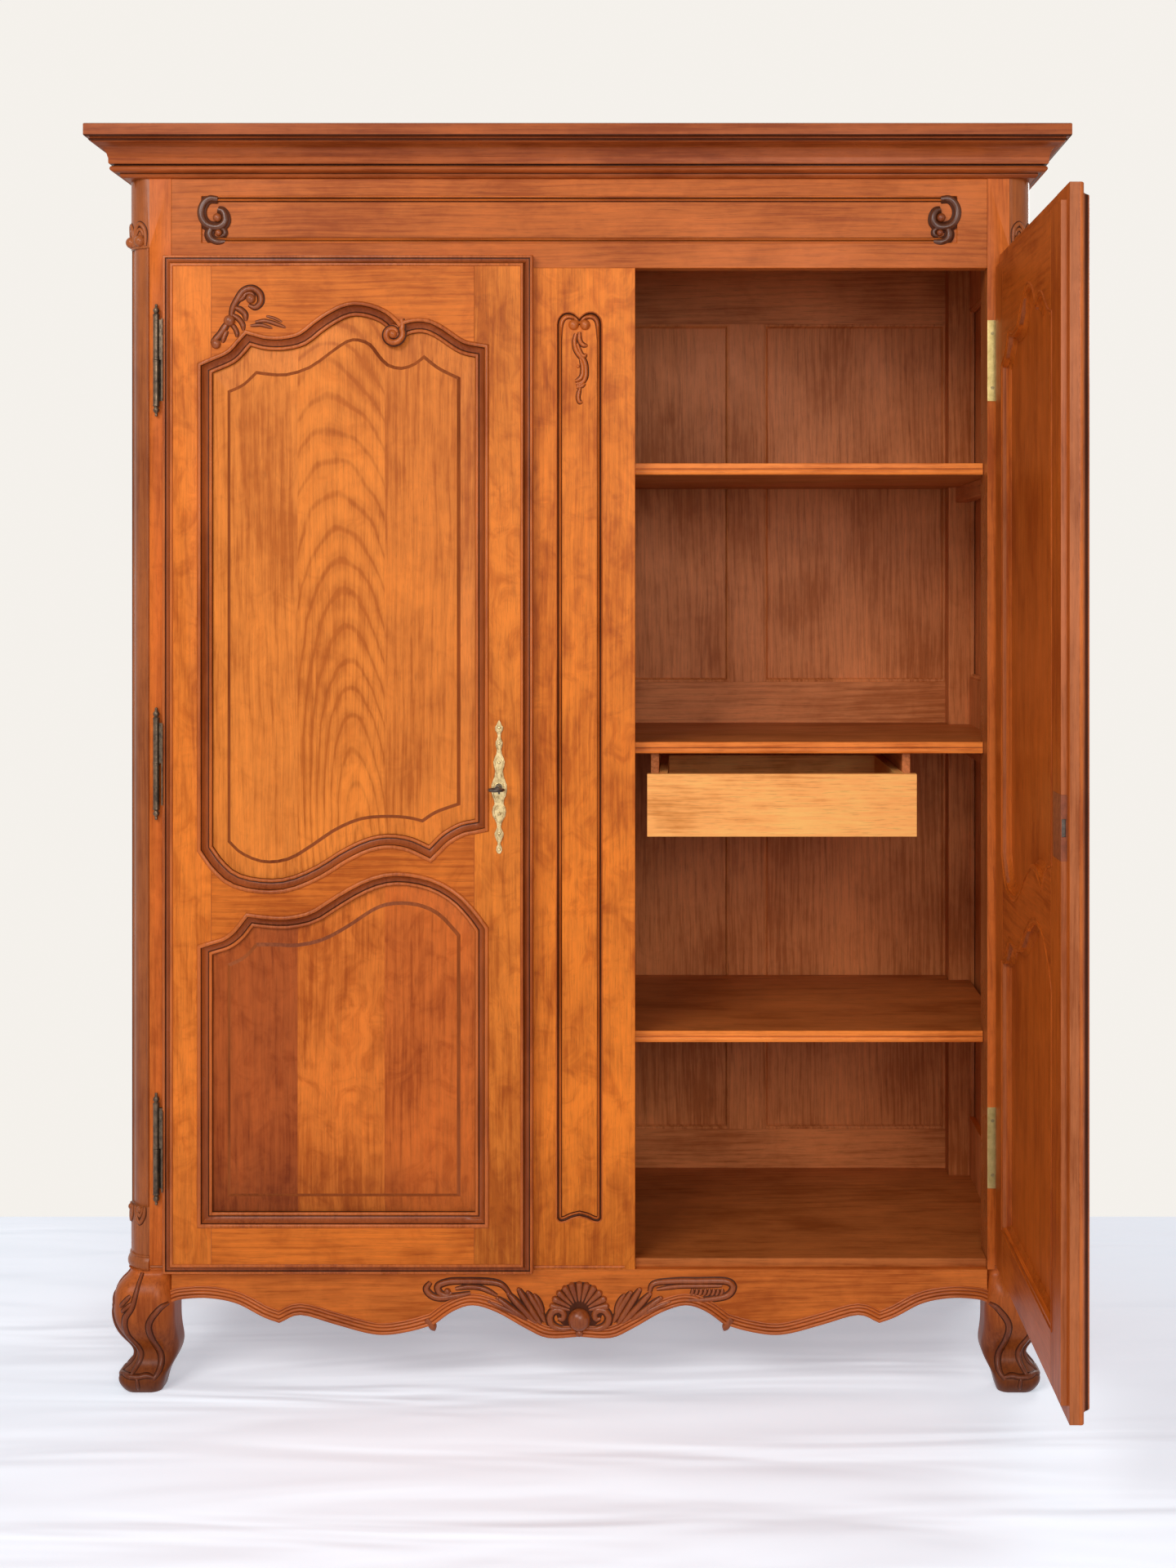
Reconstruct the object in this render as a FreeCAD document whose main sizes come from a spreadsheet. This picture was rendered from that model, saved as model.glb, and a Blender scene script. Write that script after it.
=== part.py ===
import FreeCAD, Part
import math
import os
import re

# Two-door provincial armoire with a fixed centre post, three shelves and a small hung drawer.
# Millimetres, +Z up, front towards -Y, origin on the floor under the middle of the case.
# The left door is shut and the right door stands open, as the cupboard is seen.

doc = FreeCAD.newDocument("armoire")
sizes = doc.addObject("Spreadsheet::Sheet", "sizes")

SIZES = {
    # case
    "case_width": "1500", "case_depth": "570", "case_top": "2007", "base_top": "203",
    "post_size": "75", "column_radius": "39", "shaft_recess": "5",
    "shaft_bottom": "306", "shaft_head": "114",
    "board_thickness": "28", "tenon_length": "40", "tenon_thickness": "10", "tenon_shoulder": "14",
    "apron_tenon_height": "30",
    "frieze_height": "148", "centre_post_width": "184",
    "recess_depth": "4", "post_recess_width": "76", "post_recess_bottom": "280", "post_recess_head": "72",
    "frieze_recess_margin": "50", "frieze_recess_foot": "42", "frieze_recess_head": "29",
    "floor_thickness": "15", "floor_set_back": "11", "floor_bearing": "15", "overrun": "5",
    # sides and back
    "side_set_back": "6", "side_thickness": "30", "side_bottom_rail_height": "112",
    "side_middle_rail_bottom": "1050", "side_middle_rail_height": "110", "side_top_rail_height": "150",
    "side_apron_bottom": "112", "side_apron_rise": "44",
    "panel_thickness": "9", "groove_depth": "12",
    "back_set_in": "2", "back_thickness": "24", "back_bottom_rail_bottom": "110",
    "back_bottom_rail_top": "292", "back_middle_rail_bottom": "1060", "back_middle_rail_top": "1150",
    "back_top_rail_height": "171", "back_stile_inset": "381", "back_stile_width": "67",
    # shelves and top
    "shelf_thickness": "19", "shelf_set_back": "45", "lower_shelf_top": "588",
    "middle_shelf_top": "1072", "top_compartment": "468", "cleat_height": "28", "cleat_width": "26",
    "top_board_thickness": "16", "cornice_height": "80", "cornice_reach": "55", "cornice_seat": "14",
    "cornice_back_thickness": "20",
    # doors
    "door_bottom": "201", "door_head_lap": "19", "door_side_lap": "10", "door_middle_lap": "16.5",
    "door_lip_thickness": "28", "door_step": "8", "door_gap": "2", "shut_gap": "0.4",
    "hinge_stile_width": "83", "lock_stile_width": "95", "field_rise": "6",
    "top_rail_height": "101.5", "upper_panel_bottom": "852", "lower_panel_top": "841",
    "lower_panel_bottom": "304", "upper_top_scallop": "93", "upper_bottom_scallop": "98",
    "lower_top_scallop": "114", "middle_tenon_height": "90", "right_door_angle": "90",
    # hinges
    "hinge_reach": "23", "hinge_offset": "6", "knuckle_radius": "5.5", "pin_radius": "2.5",
    "pin_clearance": "0.15", "leaf_thickness": "2", "leaf_height": "134", "barrel_length": "150",
    "finial_length": "18", "knuckle_gap": "0.5", "upper_hinge_drop": "172", "middle_hinge": "1040",
    "lower_hinge": "404", "door_leaf_width": "22", "door_leaf_margin": "2",
    # locks and key
    "lock_rise": "152", "lock_length": "60", "lock_tall": "90", "lock_depth": "18",
    "bolt_thickness": "5", "bolt_height": "24", "bolt_length": "42", "bolt_throw": "14",
    "bolt_clearance": "0.4", "bolt_inset": "1.5", "keyhole_distance": "54.5", "key_clearance": "0.3",
    "key_radius": "3", "key_reach": "44", "key_bow_radius": "11", "key_bow_wire": "2.6",
    "key_bit_height": "8", "key_bit_thickness": "3", "key_bit_length": "5", "key_chamber_radius": "12.5",
    "plate_thickness": "2.5", "plate_height": "220", "plate_width": "27",
    # drawer
    "drawer_left_gap": "20", "drawer_right_gap": "115", "drawer_height": "104", "drawer_drop": "32",
    "drawer_set_back": "14", "drawer_rear_gap": "132", "drawer_front_thickness": "18",
    "drawer_side_thickness": "14", "drawer_side_inset": "20", "drawer_back_thickness": "12",
    "drawer_bottom_thickness": "6", "drawer_bottom_rise": "8", "drawer_groove": "6", "drawer_lap": "10",
    "runner_thickness": "14", "runner_gap": "0.7", "runner_tongue": "6", "runner_tongue_height": "14",
    "runner_tongue_drop": "24", "runner_foot": "16", "runner_set_back": "20", "runner_rear_gap": "79",
    "runner_play": "0.3",
}

# Places worked out from the sizes
PLACES = {
    "half_width": "case_width / 2", "face": "-case_depth / 2", "rear": "case_depth / 2",
    "post_edge": "half_width - post_size", "floor_top": "base_top + floor_thickness",
    "post_half": "centre_post_width / 2", "board_back": "face + board_thickness",
    "shaft_top": "case_top - shaft_head", "opening_top": "case_top - frieze_height",
    "post_recess_top": "opening_top - post_recess_head",
    "frieze_recess_half": "post_edge - frieze_recess_margin",
    "frieze_recess_bottom": "opening_top + frieze_recess_foot",
    "frieze_recess_top": "case_top - frieze_recess_head",
    "tenon_front": "face + (board_thickness - tenon_thickness) / 2",
    "tenon_back": "tenon_front + tenon_thickness",
    "side_outer": "half_width - side_set_back", "side_inner": "side_outer - side_thickness",
    "side_front": "face + post_size", "side_rear": "rear - post_size",
    "side_tenon_inner": "side_inner + (side_thickness - tenon_thickness) / 2",
    "side_tenon_outer": "side_tenon_inner + tenon_thickness",
    "side_panel_inner": "side_inner + (side_thickness - panel_thickness) / 2",
    "back_rear": "rear - back_set_in", "back_face": "back_rear - back_thickness",
    "back_tenon_face": "back_face + (back_thickness - tenon_thickness) / 2",
    "back_panel_face": "back_face + (back_thickness - panel_thickness) / 2",
    "back_top_rail_bottom": "case_top - back_top_rail_height",
    "back_stile_centre": "post_edge - back_stile_inset", "upper_shelf_top": "case_top - top_compartment",
    "shelf_front": "face + shelf_set_back", "cleat_inner": "side_inner - cleat_width",
    "door_top": "opening_top + door_head_lap", "door_outer_edge": "post_edge + door_side_lap",
    "door_inner_edge": "post_half - door_middle_lap", "upper_panel_top": "door_top - top_rail_height",
    "hinge_axis": "post_edge + hinge_reach", "upper_hinge": "door_top - upper_hinge_drop",
    "lock_height": "upper_panel_bottom + lock_rise",
    "door_front": "face - shut_gap - door_lip_thickness", "door_inside": "face + door_step",
    "door_lip_back": "face - shut_gap", "step_hinge_edge": "post_edge - door_gap",
    "step_lock_edge": "post_half + door_gap", "step_bottom": "floor_top + door_gap",
    "step_top": "opening_top - door_gap", "hinge_sight": "door_outer_edge - hinge_stile_width",
    "lock_sight": "door_inner_edge + lock_stile_width", "sight_width": "hinge_sight - lock_sight",
    "door_panel_front": "(door_front + door_inside - panel_thickness) / 2",
    "door_panel_back": "door_panel_front + panel_thickness",
    "axis_y": "face - hinge_offset", "lock_front": "door_inside - lock_depth",
    "keyhole_x": "door_inner_edge + keyhole_distance",
    "bolt_back": "door_inside - (door_step - bolt_thickness) / 2",
    "bolt_front": "bolt_back - bolt_thickness", "bolt_tip": "step_lock_edge + bolt_inset",
    "key_bit_back": "bolt_front - bolt_clearance - bolt_inset", "key_tip": "door_front - key_reach",
    "drawer_top": "middle_shelf_top - shelf_thickness - drawer_drop",
    "drawer_base": "drawer_top - drawer_height", "drawer_left": "post_half + drawer_left_gap",
    "drawer_right": "post_edge - drawer_right_gap",
    "drawer_face": "face + drawer_set_back", "drawer_front_back": "drawer_face + drawer_front_thickness",
    "drawer_rear": "back_face - drawer_rear_gap", "drawer_middle": "(drawer_left + drawer_right) / 2",
    "drawer_half": "(drawer_right - drawer_left) / 2 - drawer_side_inset",
    "panel_base": "drawer_base + drawer_bottom_rise",
    "runner_front": "shelf_front + runner_set_back", "runner_rear": "back_face - runner_rear_gap",
    "runner_half": "drawer_half + runner_gap", "tongue_top": "drawer_top - runner_tongue_drop",
    "tongue_base": "tongue_top - runner_tongue_height",
}

# Outlines, each a row of stretches that meet in a cusp. First share: across the panel from its
# hinge side. Second share: of the named scallop, down from a top edge or up from a bottom edge.
upper_top_sight_shares = (
    ((0, 1), (0.088, 0.81), (0.146, 0.53)),
    ((0.146, 0.53), (0.204, 0.596), (0.281, 0.596), (0.357, 0.5), (0.433, 0.23), (0.509, 0.03),
     (0.566, 0), (0.632, 0.095), (0.674, 0.26), (0.7, 0.44)),
    ((0.7, 0.44), (0.75, 0.32), (0.8, 0.29), (0.847, 0.374), (0.921, 0.604), (0.962, 0.686), (1, 0.72)),
)
upper_top_field_shares = (
    ((0.056, 1.31), (0.112, 1.186), (0.165, 0.96)),
    ((0.165, 0.96), (0.213, 0.99), (0.281, 1), (0.367, 0.874), (0.443, 0.624), (0.509, 0.415),
     (0.557, 0.386), (0.604, 0.477), (0.632, 0.644), (0.67, 0.832), (0.721, 0.887), (0.768, 0.812),
     (0.805, 0.677)),
    ((0.805, 0.677), (0.866, 0.895), (0.944, 1.074)),
)
upper_bottom_sight_shares = (
    ((0, 0.545), (0.039, 0.306), (0.098, 0.09), (0.194, 0), (0.29, 0.03), (0.396, 0.228), (0.49, 0.486),
     (0.585, 0.683), (0.67, 0.75), (0.754, 0.7), (0.824, 0.565)),
    ((0.824, 0.565), (0.875, 0.78), (0.94, 0.94), (1, 1)),
)
upper_bottom_field_shares = (
    ((0.056, 0.613), (0.107, 0.404), (0.194, 0.258), (0.29, 0.304), (0.377, 0.522), (0.471, 0.8),
     (0.566, 0.977), (0.661, 1.017), (0.744, 0.997), (0.8, 0.938)),
    ((0.8, 0.938), (0.856, 1.095), (0.944, 1.234)),
)
lower_top_sight_shares = (
    ((0, 1), (0.068, 0.916), (0.117, 0.78), (0.156, 0.6)),
    ((0.156, 0.6), (0.223, 0.627), (0.3, 0.627), (0.396, 0.542), (0.49, 0.322), (0.585, 0.117),
     (0.67, 0.012), (0.754, 0.015), (0.838, 0.1), (0.912, 0.271), (0.967, 0.491), (1, 0.661)),
)
lower_top_field_shares = (
    ((0.056, 1.136), (0.117, 1.018), (0.165, 0.831)),
    ((0.165, 0.831), (0.242, 0.831), (0.319, 0.841), (0.415, 0.763), (0.509, 0.576), (0.604, 0.339),
     (0.67, 0.246), (0.744, 0.236), (0.81, 0.288), (0.875, 0.424), (0.944, 0.712)),
)
lower_bottom_sight_shares = (((0, 0), (1, 0)),)
lower_bottom_field_shares = (((0.056, 0.22), (0.944, 0.22)),)

# Half of the apron's lower edge, from the foot to the middle: shares of the half span and of the base height
apron_shares = (
    ((1, 0.74), (0.975, 0.768), (0.91, 0.778), (0.84, 0.735), (0.775, 0.625), (0.735, 0.576)),
    ((0.735, 0.576), (0.683, 0.64), (0.6, 0.566), (0.52, 0.493), (0.47, 0.478), (0.41, 0.51),
     (0.356, 0.562)),
    ((0.356, 0.562), (0.31, 0.67), (0.26, 0.719), (0.2, 0.66), (0.13, 0.53), (0.076, 0.453), (0, 0.463)),
)

# Side apron arch: shares of its length and of its rise
side_arch_shares = ((0, 0), (0.06, 0.55), (0.2, 0.92), (0.5, 1), (0.8, 0.92), (0.94, 0.55), (1, 0))

# Foot sections from the top down: shares of the base height, and of the post size for how far the
# outer sides stand out from the case and for how wide the section is
foot_shares = (
    (1, 0, 1), (0.91, 0.1, 1.1), (0.74, 0.28, 1.33), (0.59, 0.26, 1.32), (0.44, 0.08, 1.16),
    (0.3, -0.12, 0.96), (0.21, -0.03, 0.95), (0.13, 0.17, 1.04), (0.05, 0.13, 0.94), (0, 0.02, 0.78),
)
foot_corner_share = 0.3

# Cornice section: shares of its reach and of its height
cornice_foot_shares = ((0.06, 0), (0.14, 0.06), (0.24, 0.08))
cornice_bead_shares = ((0.24, 0.08), (0.42, 0.155), (0.26, 0.235))
cornice_step_shares = ((0.26, 0.235), (0.4, 0.25), (0.42, 0.38))
cornice_cove_shares = ((0.42, 0.38), (0.54, 0.56), (0.82, 0.66))
cornice_fascia_shares = ((0.82, 0.66), (0.86, 0.7), (0.97, 0.72), (1, 0.75), (1, 1))

# Half outline of the escutcheon plate: shares of its width out from the middle and of its height
plate_shares = (
    ((0, 0), (0.12, 0.04), (0.1, 0.09), (0.3, 0.16), (0.2, 0.23), (0.24, 0.32), (0.42, 0.4)),
    ((0.42, 0.4), (0.5, 0.47), (0.44, 0.56), (0.28, 0.64), (0.24, 0.72), (0.34, 0.8), (0.16, 0.87),
     (0.14, 0.94), (0, 1)),
)

SIDES = ("left", "right")
pieces = []


def formula(text):
    """Write a formula of named sizes and places as an expression on the sheet."""
    def written_out(word):
        name = word.group(0)
        if name in PLACES:
            return "(" + formula(PLACES[name]) + ")"
        return "sizes." + name
    return re.sub(r"[a-z][a-z_]*", written_out, text)


def number(text):
    """Work out a formula of named sizes and places."""
    return float(sizes.evalExpression(formula(text)))


def sign(side):
    return -1 if side == "left" else 1


def across(side, inner, outer):
    """Low and high X of a span on one side of the middle."""
    if side == "left":
        return "-(" + outer + ")", "-(" + inner + ")"
    return inner, outer


def keep(piece, label):
    """Give a finished piece its label and list it for the build."""
    piece.Label = label
    pieces.append(piece)
    return piece


def bind(piece, **formulas):
    for prop, text in formulas.items():
        piece.setExpression(prop.replace("__", "."), formula(text))
    return piece


def box(name, x_span, y_span, z_span):
    """A board between two X, two Y and two Z formulas."""
    piece = doc.addObject("Part::Box", name)
    for size, axis, (low, high) in zip(("Length", "Width", "Height"), "xyz", (x_span, y_span, z_span)):
        piece.setExpression(size, formula("(" + high + ") - (" + low + ")"))
        piece.setExpression("Placement.Base." + axis, formula(low))
    return piece


def cylinder(name, radius, length, x, y, z, lying=False):
    """A cylinder that stands on its base point, or lies along +Y from it."""
    piece = doc.addObject("Part::Cylinder", name)
    if lying:
        piece.Placement.Rotation = FreeCAD.Rotation(FreeCAD.Vector(-1, 0, 0), FreeCAD.Vector(0, 0, 1),
                                                    FreeCAD.Vector(0, 1, 0))
    return bind(piece, Radius=radius, Height=length, Placement__Base__x=x, Placement__Base__y=y,
                Placement__Base__z=z)


def cone(name, bottom_radius, top_radius, length, x, y, z):
    piece = doc.addObject("Part::Cone", name)
    return bind(piece, Radius1=bottom_radius, Radius2=top_radius, Height=length,
                Placement__Base__x=x, Placement__Base__y=y, Placement__Base__z=z)


def fuse(name, shapes):
    piece = doc.addObject("Part::MultiFuse", name)
    piece.Shapes = shapes
    piece.Refine = True
    return piece


def group(name, solids):
    """Separate solids kept side by side in one piece."""
    piece = doc.addObject("Part::Compound", name)
    piece.Links = solids
    return piece


def cut(name, base, tools):
    """Take the tools out of the base."""
    piece = doc.addObject("Part::Cut", name)
    piece.Base = base
    piece.Tool = tools[0] if len(tools) == 1 else fuse(name + "_tools", tools)
    return piece


def feature(name, shape):
    """A free-form shape worked out from the sheet's values."""
    piece = doc.addObject("Part::Feature", name)
    piece.Shape = shape
    return piece


def curve(points):
    """A straight line through two points, or one smooth curve through more."""
    if len(points) == 2:
        return Part.LineSegment(*points).toShape()
    spline = Part.BSplineCurve()
    spline.interpolate(points)
    return spline.toShape()


def chain(rows):
    """A face bounded by rows of points, each row one smooth stretch, joined by straight lines."""
    edges = []
    for row, following in zip(rows, rows[1:] + rows[:1]):
        edges.append(curve(row))
        if row[-1].distanceToPoint(following[0]) > FreeCAD.Base.Precision.confusion():
            edges.append(curve([row[-1], following[0]]))
    return Part.Face(Part.Wire(Part.__sortEdges__(edges)))


def slab(face_shape, depth):
    return face_shape.extrude(FreeCAD.Vector(0, depth, 0))


for row, (alias, value) in enumerate(SIZES.items(), start=1):
    sizes.set(f"A{row}", alias)
    sizes.set(f"B{row}", value)
    sizes.setAlias(f"B{row}", alias)
doc.recompute()


# Front apron and side aprons, with the tenons that enter the feet and the rear posts
def apron_shape():
    half = number("post_edge")
    height = number("base_top")
    front = number("face")

    def place(x_share, z_share):
        return FreeCAD.Vector(x_share * half, front, z_share * height)

    right = [[place(x, z) for x, z in stretch] for stretch in apron_shares[:-1]]
    left = [[place(-x, z) for x, z in reversed(stretch)] for stretch in reversed(apron_shares[:-1])]
    inner = apron_shares[-1]
    middle = [place(x, z) for x, z in inner] + [place(-x, z) for x, z in reversed(inner[:-1])]
    return slab(chain(right + [middle] + left + [[place(-1, 1), place(1, 1)]]), number("board_thickness"))


def side_apron_shape(side):
    front = number("side_front")
    length = number("side_rear") - front
    bottom = number("side_apron_bottom")
    rise = number("side_apron_rise")
    x = sign(side) * number("side_inner")

    def place(y_share, z_share):
        return FreeCAD.Vector(x, front + y_share * length, bottom + z_share * rise)

    arch = [place(y, z) for y, z in side_arch_shares]
    top = [FreeCAD.Vector(x, y, number("base_top")) for y in (front + length, front)]
    return chain([arch, top]).extrude(FreeCAD.Vector(sign(side) * number("side_thickness"), 0, 0))


apron_tenon_span = ("base_top - tenon_shoulder - apron_tenon_height", "base_top - tenon_shoulder")
front_apron_board = fuse("front_apron_board", [
    feature("front_apron_slab", apron_shape()),
    box("front_apron_tenon", ("-post_edge - tenon_length", "post_edge + tenon_length"),
        ("tenon_front", "tenon_back"), apron_tenon_span)])
side_aprons = {}
for side in SIDES:
    side_aprons[side] = keep(fuse(side + "_side_apron", [
        feature(side + "_side_apron_slab", side_apron_shape(side)),
        box(side + "_side_apron_tenon", across(side, "side_tenon_inner", "side_tenon_outer"),
            ("side_front - tenon_length", "side_rear + tenon_length"), apron_tenon_span)]),
        side + "_side_apron")


# Front feet
def rounded_square(low_x, low_y, width, height):
    radius = foot_corner_share * width
    inset = (width / 2 - radius) * math.sqrt(2)
    middle = FreeCAD.Vector(low_x + width / 2, low_y + width / 2, height)
    edges = []
    ends = []
    for quarter in range(4):
        turn = quarter * math.pi / 2
        diagonal = turn + math.pi / 4
        centre = middle + FreeCAD.Vector(math.cos(diagonal), math.sin(diagonal), 0) * inset
        points = [centre + FreeCAD.Vector(math.cos(angle), math.sin(angle), 0) * radius
                  for angle in (turn, diagonal, turn + math.pi / 2)]
        if ends:
            edges.append(Part.LineSegment(ends[-1], points[0]).toShape())
        edges.append(Part.Arc(*points).toShape())
        ends += [points[0], points[-1]]
    edges.append(Part.LineSegment(ends[-1], ends[0]).toShape())
    return Part.Wire(edges)


def foot_shape(side):
    size = number("post_size")
    sections = []
    for height_share, reach_share, width_share in foot_shares:
        reach = reach_share * size
        width = width_share * size
        sections.append(rounded_square(number("half_width") + reach - width, number("face") - reach, width,
                                       height_share * number("base_top")))
    level = Part.makeBox(number("case_width"), number("case_depth"), number("base_top"),
                         FreeCAD.Vector(0, number("face - post_size"), 0))
    shape = Part.makeLoft(sections, True).common(level)
    if side == "left":
        shape = shape.mirror(FreeCAD.Vector(), FreeCAD.Vector(1, 0, 0))
    return shape


for side in SIDES:
    keep(cut("front_" + side + "_foot", feature(side + "_foot_block", foot_shape(side)),
             [front_apron_board, side_aprons[side]]), "front_" + side + "_foot")


# Frieze rail and centre post
frieze_board = fuse("frieze_board", [
    box("frieze_body", ("-post_edge", "post_edge"), ("face", "board_back"), ("opening_top", "case_top")),
    box("frieze_tenon", ("-post_edge - tenon_length", "post_edge + tenon_length"),
        ("tenon_front", "tenon_back"), ("opening_top + tenon_shoulder", "case_top - tenon_shoulder"))])
centre_board = fuse("centre_board", [
    box("centre_body", ("-post_half", "post_half"), ("face", "board_back"), ("base_top", "opening_top")),
    box("centre_tenon", ("-post_half + tenon_shoulder", "post_half - tenon_shoulder"),
        ("tenon_front", "tenon_back"), ("base_top - tenon_length", "opening_top + tenon_length"))])
frieze_recess = box("frieze_recess", ("-frieze_recess_half", "frieze_recess_half"),
                    ("face - overrun", "face + recess_depth"), ("frieze_recess_bottom", "frieze_recess_top"))
centre_recess = box("centre_recess", ("-post_recess_width / 2", "post_recess_width / 2"),
                    ("face - overrun", "face + recess_depth"), ("post_recess_bottom", "post_recess_top"))
keepers = [box(side + "_keeper", across(side, "post_half - bolt_throw", "post_half + overrun"),
               ("bolt_front - bolt_clearance", "bolt_back + bolt_clearance"),
               ("lock_height - bolt_height / 2 - bolt_clearance",
                "lock_height + bolt_height / 2 + bolt_clearance")) for side in SIDES]
keep(cut("frieze_rail", frieze_board, [frieze_recess, centre_board]), "frieze_rail")
keep(cut("centre_post", centre_board, [centre_recess] + keepers), "centre_post")
keep(cut("front_apron", front_apron_board, [centre_board]), "front_apron")


# Side frames
side_rail_spans = (
    ("bottom", "floor_top", "floor_top + side_bottom_rail_height"),
    ("middle", "side_middle_rail_bottom", "side_middle_rail_bottom + side_middle_rail_height"),
    ("top", "case_top - side_top_rail_height", "case_top"),
)
side_frames = {}
for side in SIDES:
    rails = []
    for level, low, high in side_rail_spans:
        rails.append(fuse(side + "_side_" + level + "_board", [
            box(side + "_side_" + level + "_body", across(side, "side_inner", "side_outer"),
                ("side_front", "side_rear"), (low, high)),
            box(side + "_side_" + level + "_tenon", across(side, "side_tenon_inner", "side_tenon_outer"),
                ("side_front - tenon_length", "side_rear + tenon_length"),
                (low + " + tenon_shoulder", high + " - tenon_shoulder"))]))
    panels = []
    for level, (below, above) in zip(("lower", "upper"), zip(side_rail_spans, side_rail_spans[1:])):
        panels.append(box(side + "_side_" + level + "_panel",
                          across(side, "side_panel_inner", "side_panel_inner + panel_thickness"),
                          ("side_front - groove_depth", "side_rear + groove_depth"),
                          (below[2] + " - groove_depth", above[1] + " + groove_depth")))
    grooved = [cut(rail.Name + "_grooved", rail, panels) for rail in rails]
    keep(group(side + "_side_rails", grooved), side + "_side_rails")
    keep(group(side + "_side_panels", panels), side + "_side_panels")
    side_frames[side] = rails + panels + [side_aprons[side]]


# Back frame: three rails, two rows of stiles and six panels
back_rail_spans = (
    ("bottom", "back_bottom_rail_bottom", "back_bottom_rail_top"),
    ("middle", "back_middle_rail_bottom", "back_middle_rail_top"),
    ("top", "back_top_rail_bottom", "case_top"),
)
stile_inner = "back_stile_centre - back_stile_width / 2"
stile_outer = "back_stile_centre + back_stile_width / 2"
back_tenon_span = ("back_tenon_face", "back_tenon_face + tenon_thickness")
back_columns = (
    ("left", across("left", stile_outer + " - groove_depth", "post_edge + groove_depth")),
    ("middle", ("-(" + stile_inner + " + groove_depth)", stile_inner + " + groove_depth")),
    ("right", across("right", stile_outer + " - groove_depth", "post_edge + groove_depth")),
)
back_boards = [fuse("back_" + level + "_board", [
    box("back_" + level + "_body", ("-post_edge", "post_edge"), ("back_face", "back_rear"), (low, high)),
    box("back_" + level + "_tenon", ("-post_edge - tenon_length", "post_edge + tenon_length"),
        back_tenon_span, (low + " + tenon_shoulder", high + " - tenon_shoulder"))])
    for level, low, high in back_rail_spans]
back_stile_boards = []
back_panel_boards = []
for row, below, above in (("lower", back_rail_spans[0], back_rail_spans[1]),
                          ("upper", back_rail_spans[1], back_rail_spans[2])):
    for side in SIDES:
        name = "back_" + row + "_" + side + "_stile"
        back_stile_boards.append(fuse(name, [
            box(name + "_body", across(side, stile_inner, stile_outer), ("back_face", "back_rear"),
                (below[2], above[1])),
            box(name + "_tenon",
                across(side, stile_inner + " + tenon_shoulder", stile_outer + " - tenon_shoulder"),
                back_tenon_span, (below[2] + " - tenon_length", above[1] + " + tenon_length"))]))
    for column, x_span in back_columns:
        back_panel_boards.append(box("back_" + row + "_" + column + "_panel", x_span,
                                     ("back_panel_face", "back_panel_face + panel_thickness"),
                                     (below[2] + " - groove_depth", above[1] + " + groove_depth")))
keep(group("back_rails", [cut(rail.Name + "_grooved", rail, back_stile_boards + back_panel_boards)
                          for rail in back_boards]), "back_rails")
keep(group("back_stiles", [cut(stile.Name + "_grooved", stile, back_panel_boards)
                           for stile in back_stile_boards]), "back_stiles")
keep(group("back_panels", back_panel_boards), "back_panels")


# Hinges: the lower halves carry the pins and are let into the posts, the upper halves turn with the doors
hinge_rows = (
    ("upper", "upper_hinge", "post_edge"),
    ("middle", "middle_hinge", "hinge_axis - knuckle_radius"),
    ("lower", "lower_hinge", "post_edge"),
)
frame_halves = {}
door_halves = {}
for side in SIDES:
    axis_x = across(side, "hinge_axis", "hinge_axis")[0]
    frame_halves[side] = []
    door_halves[side] = []
    for level, height, leaf_edge in hinge_rows:
        name = side + "_" + level + "_hinge_"
        foot = height + " - barrel_length / 2"
        head = height + " + barrel_length / 2"
        leaf_span = (height + " - leaf_height / 2", height + " + leaf_height / 2")
        frame_halves[side].append(fuse(name + "frame_half", [
            cylinder(name + "lower_knuckle", "knuckle_radius", "(barrel_length - knuckle_gap) / 2",
                     axis_x, "axis_y", foot),
            cylinder(name + "pin", "pin_radius", "barrel_length - knuckle_radius * 2",
                     axis_x, "axis_y", foot),
            cone(name + "lower_finial", "pin_radius / 2", "knuckle_radius", "finial_length",
                 axis_x, "axis_y", foot + " - finial_length"),
            box(name + "frame_web", across(side, "hinge_axis - pin_radius", "hinge_axis + pin_radius"),
                ("axis_y", "face + leaf_thickness"), (foot, height + " - knuckle_gap")),
            box(name + "frame_leaf", across(side, leaf_edge, "hinge_axis"),
                ("face", "face + leaf_thickness"), leaf_span)]))
        door_half = fuse(name + "door_half", [
            cylinder(name + "upper_knuckle", "knuckle_radius", "(barrel_length - knuckle_gap) / 2",
                     axis_x, "axis_y", height + " + knuckle_gap / 2"),
            cone(name + "upper_finial", "knuckle_radius", "pin_radius / 2", "finial_length",
                 axis_x, "axis_y", head),
            box(name + "door_web", across(side, "door_outer_edge - leaf_thickness", "hinge_axis"),
                ("axis_y - leaf_thickness / 2", "axis_y + leaf_thickness / 2"),
                (height + " + knuckle_gap", leaf_span[1])),
            box(name + "door_leaf", across(side, "door_outer_edge - leaf_thickness", "door_outer_edge"),
                ("door_lip_back - door_leaf_margin - door_leaf_width", "door_lip_back - door_leaf_margin"),
                leaf_span)])
        bore = cylinder(name + "bore", "pin_radius + pin_clearance", "barrel_length - knuckle_radius",
                        axis_x, "axis_y", foot)
        door_halves[side].append(cut(name + "door_half_bored", door_half, [bore]))
    keep(group(side + "_hinge_frame_halves", frame_halves[side]), side + "_hinge_frame_halves")


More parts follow.
